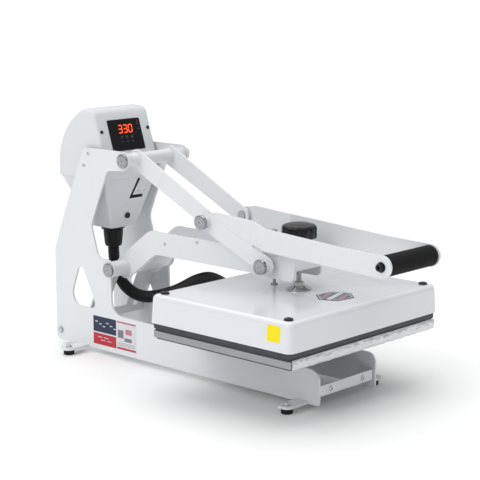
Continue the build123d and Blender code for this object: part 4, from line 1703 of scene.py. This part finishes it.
# ------------------------------------------------------------------------------- arms
@dataclass
class Linkage:
    """Platen arm, upper link and handle with their pins, bushes and weld seams."""

    edge: float = 0.8 * MM
    arm_faces: tuple[float, float] = (42 * MM, 48 * MM)
    link_faces: tuple[float, float] = (52 * MM, 58 * MM)
    toggle_faces: tuple[float, float] = (62 * MM, 70 * MM)
    arm_tube: float = 19 * MM
    link_tube: float = 16 * MM
    bead: float = 1.5 * MM
    bead_offset: float = 0.3 * MM
    bead_steps: int = 64
    collar_radius: float = 15 * MM
    collar_thick: float = 10 * MM
    set_screw_facing: Place = (0, -0.72, -0.69)
    grip_seat: float = 88.05 * MM

    def plates(self) -> None:
        """Arms, links, levers and the screw's bracket."""
        for node, body in (("platen_arm", Body.ARM), ("screw_bracket", Body.ARM), ("guide_bar", Body.ARM),
                           ("upper_link", Body.LINK), ("handle_frame", Body.HANDLE)):
            settle(bevelled_copy(node, node + "_coated", self.edge), body, WHITE, node)

    def seams(self, tubes: RibbedTubeTree) -> None:
        """Weld seams where the cross tubes meet the arm plates and the link bars.

        Args:
            tubes: the tree that makes ribbed tubes.
        """
        welded = (("arm_pivot_pin", self.arm_tube, self.arm_faces, Body.ARM, "arm"),
                  ("link_pivot_pin", self.link_tube, self.link_faces, Body.LINK, "link"))
        angles = [tau * i / self.bead_steps for i in range(self.bead_steps)]
        for pin, radius, (inner, outer), body, name in welded:
            centre = middle(pin)
            reach = radius + self.bead_offset
            seams = [side * x for side in (-1, 1) for x in (inner - 0.2 * MM, outer + 0.2 * MM)]
            for k, x in enumerate(seams):
                loop = [Vector((x, centre.y + reach * cos(a), centre.z + reach * sin(a))) for a in angles]
                ring = tubes.follow(f"{name}_weld_{k}", loop, True, WHITE, Radius=self.bead,
                                    Rib_Depth=0.22 * MM, Rib_Pitch=2.4 * MM, Rings_per_Rib=5.0, Sides=10)
                settle(ring, body, WHITE)

    def pins(self, fastener: FastenerTree) -> None:
        """Handle and knee pins, bushes, set screws and the painted shade in the collars' set-screw holes.

        Args:
            fastener: the tree that sets the screws.
        """
        seat = self.toggle_faces[1] + 0.3 * MM
        thick = self.collar_thick
        pin = TurnedPin(shank=7.9 * MM, head=17 * MM, head_thick=10 * MM)
        handle, knee = middle("handle_pivot_pin"), middle("knee_pins")
        settle(pin.build("handle_pivot_pin_turned", handle, seat + thick), Body.ARM, BRIGHT,
               "handle_pivot_pin")
        stubs = [pin.build_stub(f"knee_pin_{side}", knee, side, seat - 0.2 * MM, seat + thick)
                 for side in (-1, 1)]
        settle(join(stubs, "knee_pins_turned"), Body.HANDLE, BRIGHT, "knee_pins")
        inner, outer = 8 * MM, self.collar_radius
        soft = 0.8 * MM
        profile = [(inner, 0), (outer, 0), (outer, thick - soft), (outer - soft, thick), (inner, thick)]
        for name, centre, body in (("handle_collars", handle, Body.ARM), ("knee_collars", knee, Body.HANDLE)):
            collars = [lathe(name, profile, axis_basis(Vector((s.vector.x * seat, centre.y, centre.z)),
                                                       s.vector)) for s in (Facing.LEFT, Facing.RIGHT)]
            settle(join(collars, name), body, WHITE)
            # Each collar's set-screw hole is painted shade: a thin near-black disc on the collar's rim stands
            # in for the shade inside the hole.
            hole_shade_profile = [(TIP, 0), (1.7 * MM, 0), (1.7 * MM, 0.12 * MM), (TIP, 0.12 * MM)]
            hole = lathe("hole", hole_shade_profile, Matrix.Identity(4), 16)
            out = Vector(self.set_screw_facing)
            rim = centre + out * (outer - 0.02 * MM)
            spots = [Vector((side * (seat + thick / 2), rim.y, rim.z)) for side in (-1, 1)]
            settle(fastener.place(name[:-1] + "_set_screws", hole, PAINTED_HOLE_SHADE, spots, [out, out]), body,
                   PAINTED_HOLE_SHADE)
        dress_nodes(BRIGHT, "knee_bushes")
        sides = (Facing.LEFT.vector, Facing.RIGHT.vector)
        low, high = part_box("arm_set_screws")
        reach = 4 * MM
        spots = [(s, y, z) for s in sides for y, z in ((high.y - reach, low.z + reach),
                                                       (low.y + reach, high.z - reach))]
        screw = SocketScrew(4 * MM, 1.4 * MM, 2 * MM, 1 * MM, crown=0.3).build()
        settle(fastener.place("grub_screws", screw, ZINC,
                              [Vector((s.x * self.arm_faces[1], y, z)) for s, y, z in spots],
                              [s for s, _, _ in spots]), Body.ARM, ZINC, "arm_set_screws")

    def grip(self, fastener: FastenerTree) -> None:
        """Foam sleeve on its bar, and the bolts at its ends.

        Args:
            fastener: the tree that sets the bolts.
        """
        low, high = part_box("foam_grip")
        centre = middle("foam_grip")
        half, radius = (high.x - low.x) / 2, (high.z - low.z) / 2
        profile = [(8.1 * MM, -half + 1 * MM), (12 * MM, -half), (radius - 3.2 * MM, -half),
                   (radius - 1 * MM, -half + 0.9 * MM), (radius, -half + 3.4 * MM)]
        for i in range(1, 20):
            x = -half + 3.4 * MM + (2 * half - 6.8 * MM) * i / 20
            profile.append((radius - (0.25 + 0.25 * noise.noise(Vector((x * 45, 2.3, 0)))) * MM, x))
        profile += [(r, -z) for r, z in reversed(profile[:5])]
        foam = lathe("foam_sleeve", profile, axis_basis(Vector((0, centre.y, centre.z)),
                                                        Facing.RIGHT.vector), 64)
        settle(foam, Body.HANDLE, FOAM, "foam_grip")
        dress_nodes(ZINC, "grip_bar")
        bolt = CapScrew().build()
        places = [Vector((side * self.grip_seat, centre.y, centre.z)) for side in (-1, 1)]
        settle(fastener.place("grip_bolt_heads", bolt, BLACK_STEEL, places,
                              (Facing.LEFT.vector, Facing.RIGHT.vector)), Body.HANDLE, BLACK_STEEL,
               "grip_bolts")

    def build(self, fastener: FastenerTree, tubes: RibbedTubeTree) -> None:
        """The whole linkage.

        Args:
            fastener: the tree that sets what repeats.
            tubes: the tree that makes ribbed tubes.
        """
        self.plates()
        self.seams(tubes)
        self.pins(fastener)
        self.grip(fastener)


# ------------------------------------------------------------------------------- heat head
@dataclass
class HeatHead:
    """Cover, heater, guide, badge and caution patch."""

    badge_middle: tuple[float, float] = (0.0, -0.302)
    badge_size: float = 47 * MM
    badge_squash: float = 0.88
    badge_turn: float = radians(-8)
    band_turn: float = radians(24)
    patch_y: float = -0.3485
    patch_z: float = 0.2035
    patch_size: tuple[float, float] = (36 * MM, 34 * MM)
    cover_draft: float = radians(4)

    def shells(self) -> None:
        """Cover and heater plate."""
        settle(bevelled_copy("head_cover", "cover_shell", 0.5 * MM), Body.HEAD, GLOSS, "head_cover")
        settle(bevelled_copy("heat_plate", "heater_plate", 0.5 * MM), Body.HEAD, HEATER, "heat_plate")
        dress_nodes(BRIGHT, "heating_element")

    def buttons(self, fastener: FastenerTree) -> None:
        """The cover's four socket screws.

        Args:
            fastener: the tree that sets them.
        """
        low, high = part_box("corner_buttons")
        reach = 10 * MM
        spots = [Vector((x, y, low.z)) for x in (low.x + reach, high.x - reach)
                 for y in (low.y + reach, high.y - reach)]
        screw = SocketScrew(10 * MM, 5 * MM, 4 * MM, 3 * MM, crown=0.6).build()
        settle(fastener.place("cover_screws", screw, BLACK_STEEL, spots, [Facing.UP.vector] * 4), Body.HEAD,
               BLACK_STEEL, "corner_buttons")

    def thrust(self) -> None:
        """Flanged hexagon nut that the pressure screw pushes on."""
        low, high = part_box("thrust_cup")
        centre = middle("thrust_cup")
        sides = 48
        z = low.z
        rings = [circle(28.4 * MM, z, sides), circle(29 * MM, z + 0.8 * MM, sides),
                 circle(28.6 * MM, z + 2.6 * MM, sides), circle(26.5 * MM, z + 3.6 * MM, sides),
                 circle(20 * MM, z + 5 * MM, sides), circle(14.5 * MM, z + 8.4 * MM, sides),
                 hexagon(12.6 * MM, z + 8.9 * MM, sides), hexagon(12.6 * MM, high.z - 1.6 * MM, sides),
                 circle(10.9 * MM, high.z, sides), circle(6.6 * MM, high.z, sides),
                 circle(6.4 * MM, high.z - 3 * MM, sides)]
        at = Matrix.Translation((centre.x, centre.y, 0))
        bm = bmesh.new()
        rings_to_faces(bm, [[at @ p for p in ring] for ring in rings])
        settle(from_bmesh("thrust_nut", bm), Body.HEAD, ZINC, "thrust_cup")

    def guide(self) -> None:
        """The bolt that keeps the head from turning, with its foot and round head."""
        low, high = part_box("guide_bolt")
        tall = (high.z - low.z) / MM
        tip = TIP / MM
        profile = [(tip, 0), (8, 0), (8, 3.2), (7.3, 3.95), (3.6, 3.95), (3.6, tall - 6), (6.6, tall - 6),
                   (7, tall - 5.6), (7, tall - 1.6), (6.2, tall - 0.5), (4, tall), (2.2, tall),
                   (2.1, tall - 2.2), (tip, tall - 2.3)]
        centre = middle("guide_bolt")
        bolt = lathe("guide_post", [(r * MM, z * MM) for r, z in profile],
                     Matrix.Translation((centre.x, centre.y, low.z)), 36)
        settle(bolt, Body.HEAD, BRIGHT, "guide_bolt")

    def badge(self) -> None:
        """A plain six-sided badge with a band across it."""
        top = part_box("head_cover")[1].z
        at = Matrix.Translation((*self.badge_middle, top)) @ Matrix.Rotation(self.badge_turn, 4, "Z")
        finishes = (INK_NAVY, INK_GREY, INK_ROSE, INK_PALE)
        bm = bmesh.new()

        def hexagonal(size: float, low: float, high: float, index: int) -> None:
            """Adds one six-sided layer.

            Args:
                size: distance of its corners.
                low: level of its back.
                high: level of its front.
                index: material index.
            """
            rings = []
            for level, scale in ((low, 1.0), (high - 0.05 * MM, 1.0), (high, 0.99)):
                ring = []
                for i in range(6):
                    angle = tau * i / 6
                    reach = size * scale
                    ring.append(at @ Vector((reach * cos(angle), reach * self.badge_squash * sin(angle),
                                             level)))
                rings.append(ring)
            rings_to_faces(bm, rings, index)

        hexagonal(self.badge_size, 0.02 * MM, 0.9 * MM, 0)
        hexagonal(self.badge_size * 0.93, 0.8 * MM, 1.05 * MM, 3)
        hexagonal(self.badge_size * 0.88, 1.0 * MM, 1.15 * MM, 1)
        tilt = at @ Matrix.Rotation(self.band_turn, 4, "Z")
        for up, width, height, index in ((0, 80, 17, 0), (0, 76, 12, 3), (20, 44, 6, 2), (-20, 44, 6, 2),
                                         (28.5, 26, 3, 0), (-28.5, 26, 3, 0)):
            spot = tilt @ Matrix.Translation((0, up * MM, 0))
            add_plaque(bm, spot, width * MM, height * MM, 1.1 * MM, 1.2 * MM + 0.06 * MM * (index == 3),
                       1.4 * MM, 0.03 * MM, index)
        badge = from_bmesh("cover_badge", bm)
        for finish in finishes:
            badge.data.materials.append(finish.material())
        settle(badge, Body.HEAD, None)

    def patch(self) -> None:
        """A plain yellow patch on the cover's left side."""
        low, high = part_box("head_cover")
        lean = Vector((sin(self.cover_draft), 0, cos(self.cover_draft)))
        x = low.x + (self.patch_z - low.z) * sin(self.cover_draft) / cos(self.cover_draft)
        at = basis(Vector((x, self.patch_y, self.patch_z)), Vector((0, -1, 0)), lean)
        wide, tall = self.patch_size
        Label("caution_patch", at, wide, tall, INK_YELLOW, []).build(Body.HEAD)

    def build(self, fastener: FastenerTree) -> None:
        """The whole heat head.

        Args:
            fastener: the tree that sets what repeats.
        """
        self.shells()
        self.buttons(fastener)
        self.thrust()
        self.guide()
        self.badge()
        self.patch()


# ------------------------------------------------------------------------------- pressure screw
@dataclass
class PressureScrew:
    """Fluted knob on its threaded rod."""

    knob_low: float = 348 * MM
    hub_radius: float = 14 * MM
    lobes: int = 12
    steps: int = 20
    flute_depth: float = 2.6 * MM
    pitch: float = 2 * MM
    ridge: float = 0.75 * MM

    def knob(self) -> None:
        """Domed knob with scalloped sides, a dished top and a hub below."""
        low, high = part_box("pressure_knob")
        centre = middle("pressure_knob")
        radius = (high.x - low.x) / 2
        sides = self.lobes * self.steps
        bottom, top = self.knob_low, high.z
        stack = [(6.4 * MM, low.z + 6 * MM, 0), (6.4 * MM, low.z, 0), (self.hub_radius - 1 * MM, low.z, 0),
                 (self.hub_radius, low.z + 1 * MM, 0), (self.hub_radius, bottom, 0),
                 (radius - 3 * MM, bottom, 0.2), (radius - 0.8 * MM, bottom + 1 * MM, 0.8),
                 (radius, bottom + 3 * MM, 1)]
        shoulder = top - 12 * MM
        stack.append((radius, shoulder - 4 * MM, 1))
        for i in range(9):
            angle = pi / 2 * i / 8
            stack.append((radius - 11 * MM * (1 - cos(angle)), shoulder + 9 * MM * sin(angle),
                          max(0.0, cos(angle) - 0.15)))
        stack += [(radius - 15 * MM, top - 1.6 * MM, 0), (radius - 22 * MM, top - 0.5 * MM, 0),
                  (10 * MM, top, 0), (TIP, top, 0)]
        rings = []
        for r, z, depth in stack:
            ring = []
            for i in range(sides):
                scallop = (0.5 - 0.5 * cos(tau * i / self.steps)) ** 2.2
                reach = r - self.flute_depth * depth * scallop
                angle = tau * i / sides
                ring.append(Vector((centre.x + reach * cos(angle), centre.y + reach * sin(angle), z)))
            rings.append(ring)
        bm = bmesh.new()
        rings_to_faces(bm, rings)
        settle(from_bmesh("fluted_knob", bm), Body.SCREW, KNOB, "pressure_knob")

    def rod(self, threads: ThreadTree) -> None:
        """The threaded rod.

        Args:
            threads: the tree that makes it.
        """
        low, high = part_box("pressure_screw")
        centre = middle("pressure_screw")
        core = (high.x - low.x) / 2 - self.ridge
        rod = threads.stand("threaded_spindle", Vector((centre.x, centre.y, low.z + 1 * MM)), ZINC, Core=core,
                            Ridge=self.ridge, Pitch=self.pitch, Height=high.z - low.z - 2 * MM)
        settle(rod, Body.SCREW, ZINC, "pressure_screw")

    def build(self, threads: ThreadTree) -> None:
        """Knob and rod."""
        self.knob()
        self.rod(threads)


def main() -> None:
    """Builds the machine and its studio in order."""
    logging.basicConfig(level=logging.INFO, format="%(name)s: %(message)s")
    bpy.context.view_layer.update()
    Studio().build()
    tubes = RibbedTubeTree()
    fastener = FastenerTree()
    CableHose().build(tubes)
    MachineFrame().build(fastener)
    ControlBox().build(fastener)
    Linkage().build(fastener, tubes)
    HeatHead().build(fastener)
    PressureScrew().build(ThreadTree())


if __name__ == "__main__":
    main()
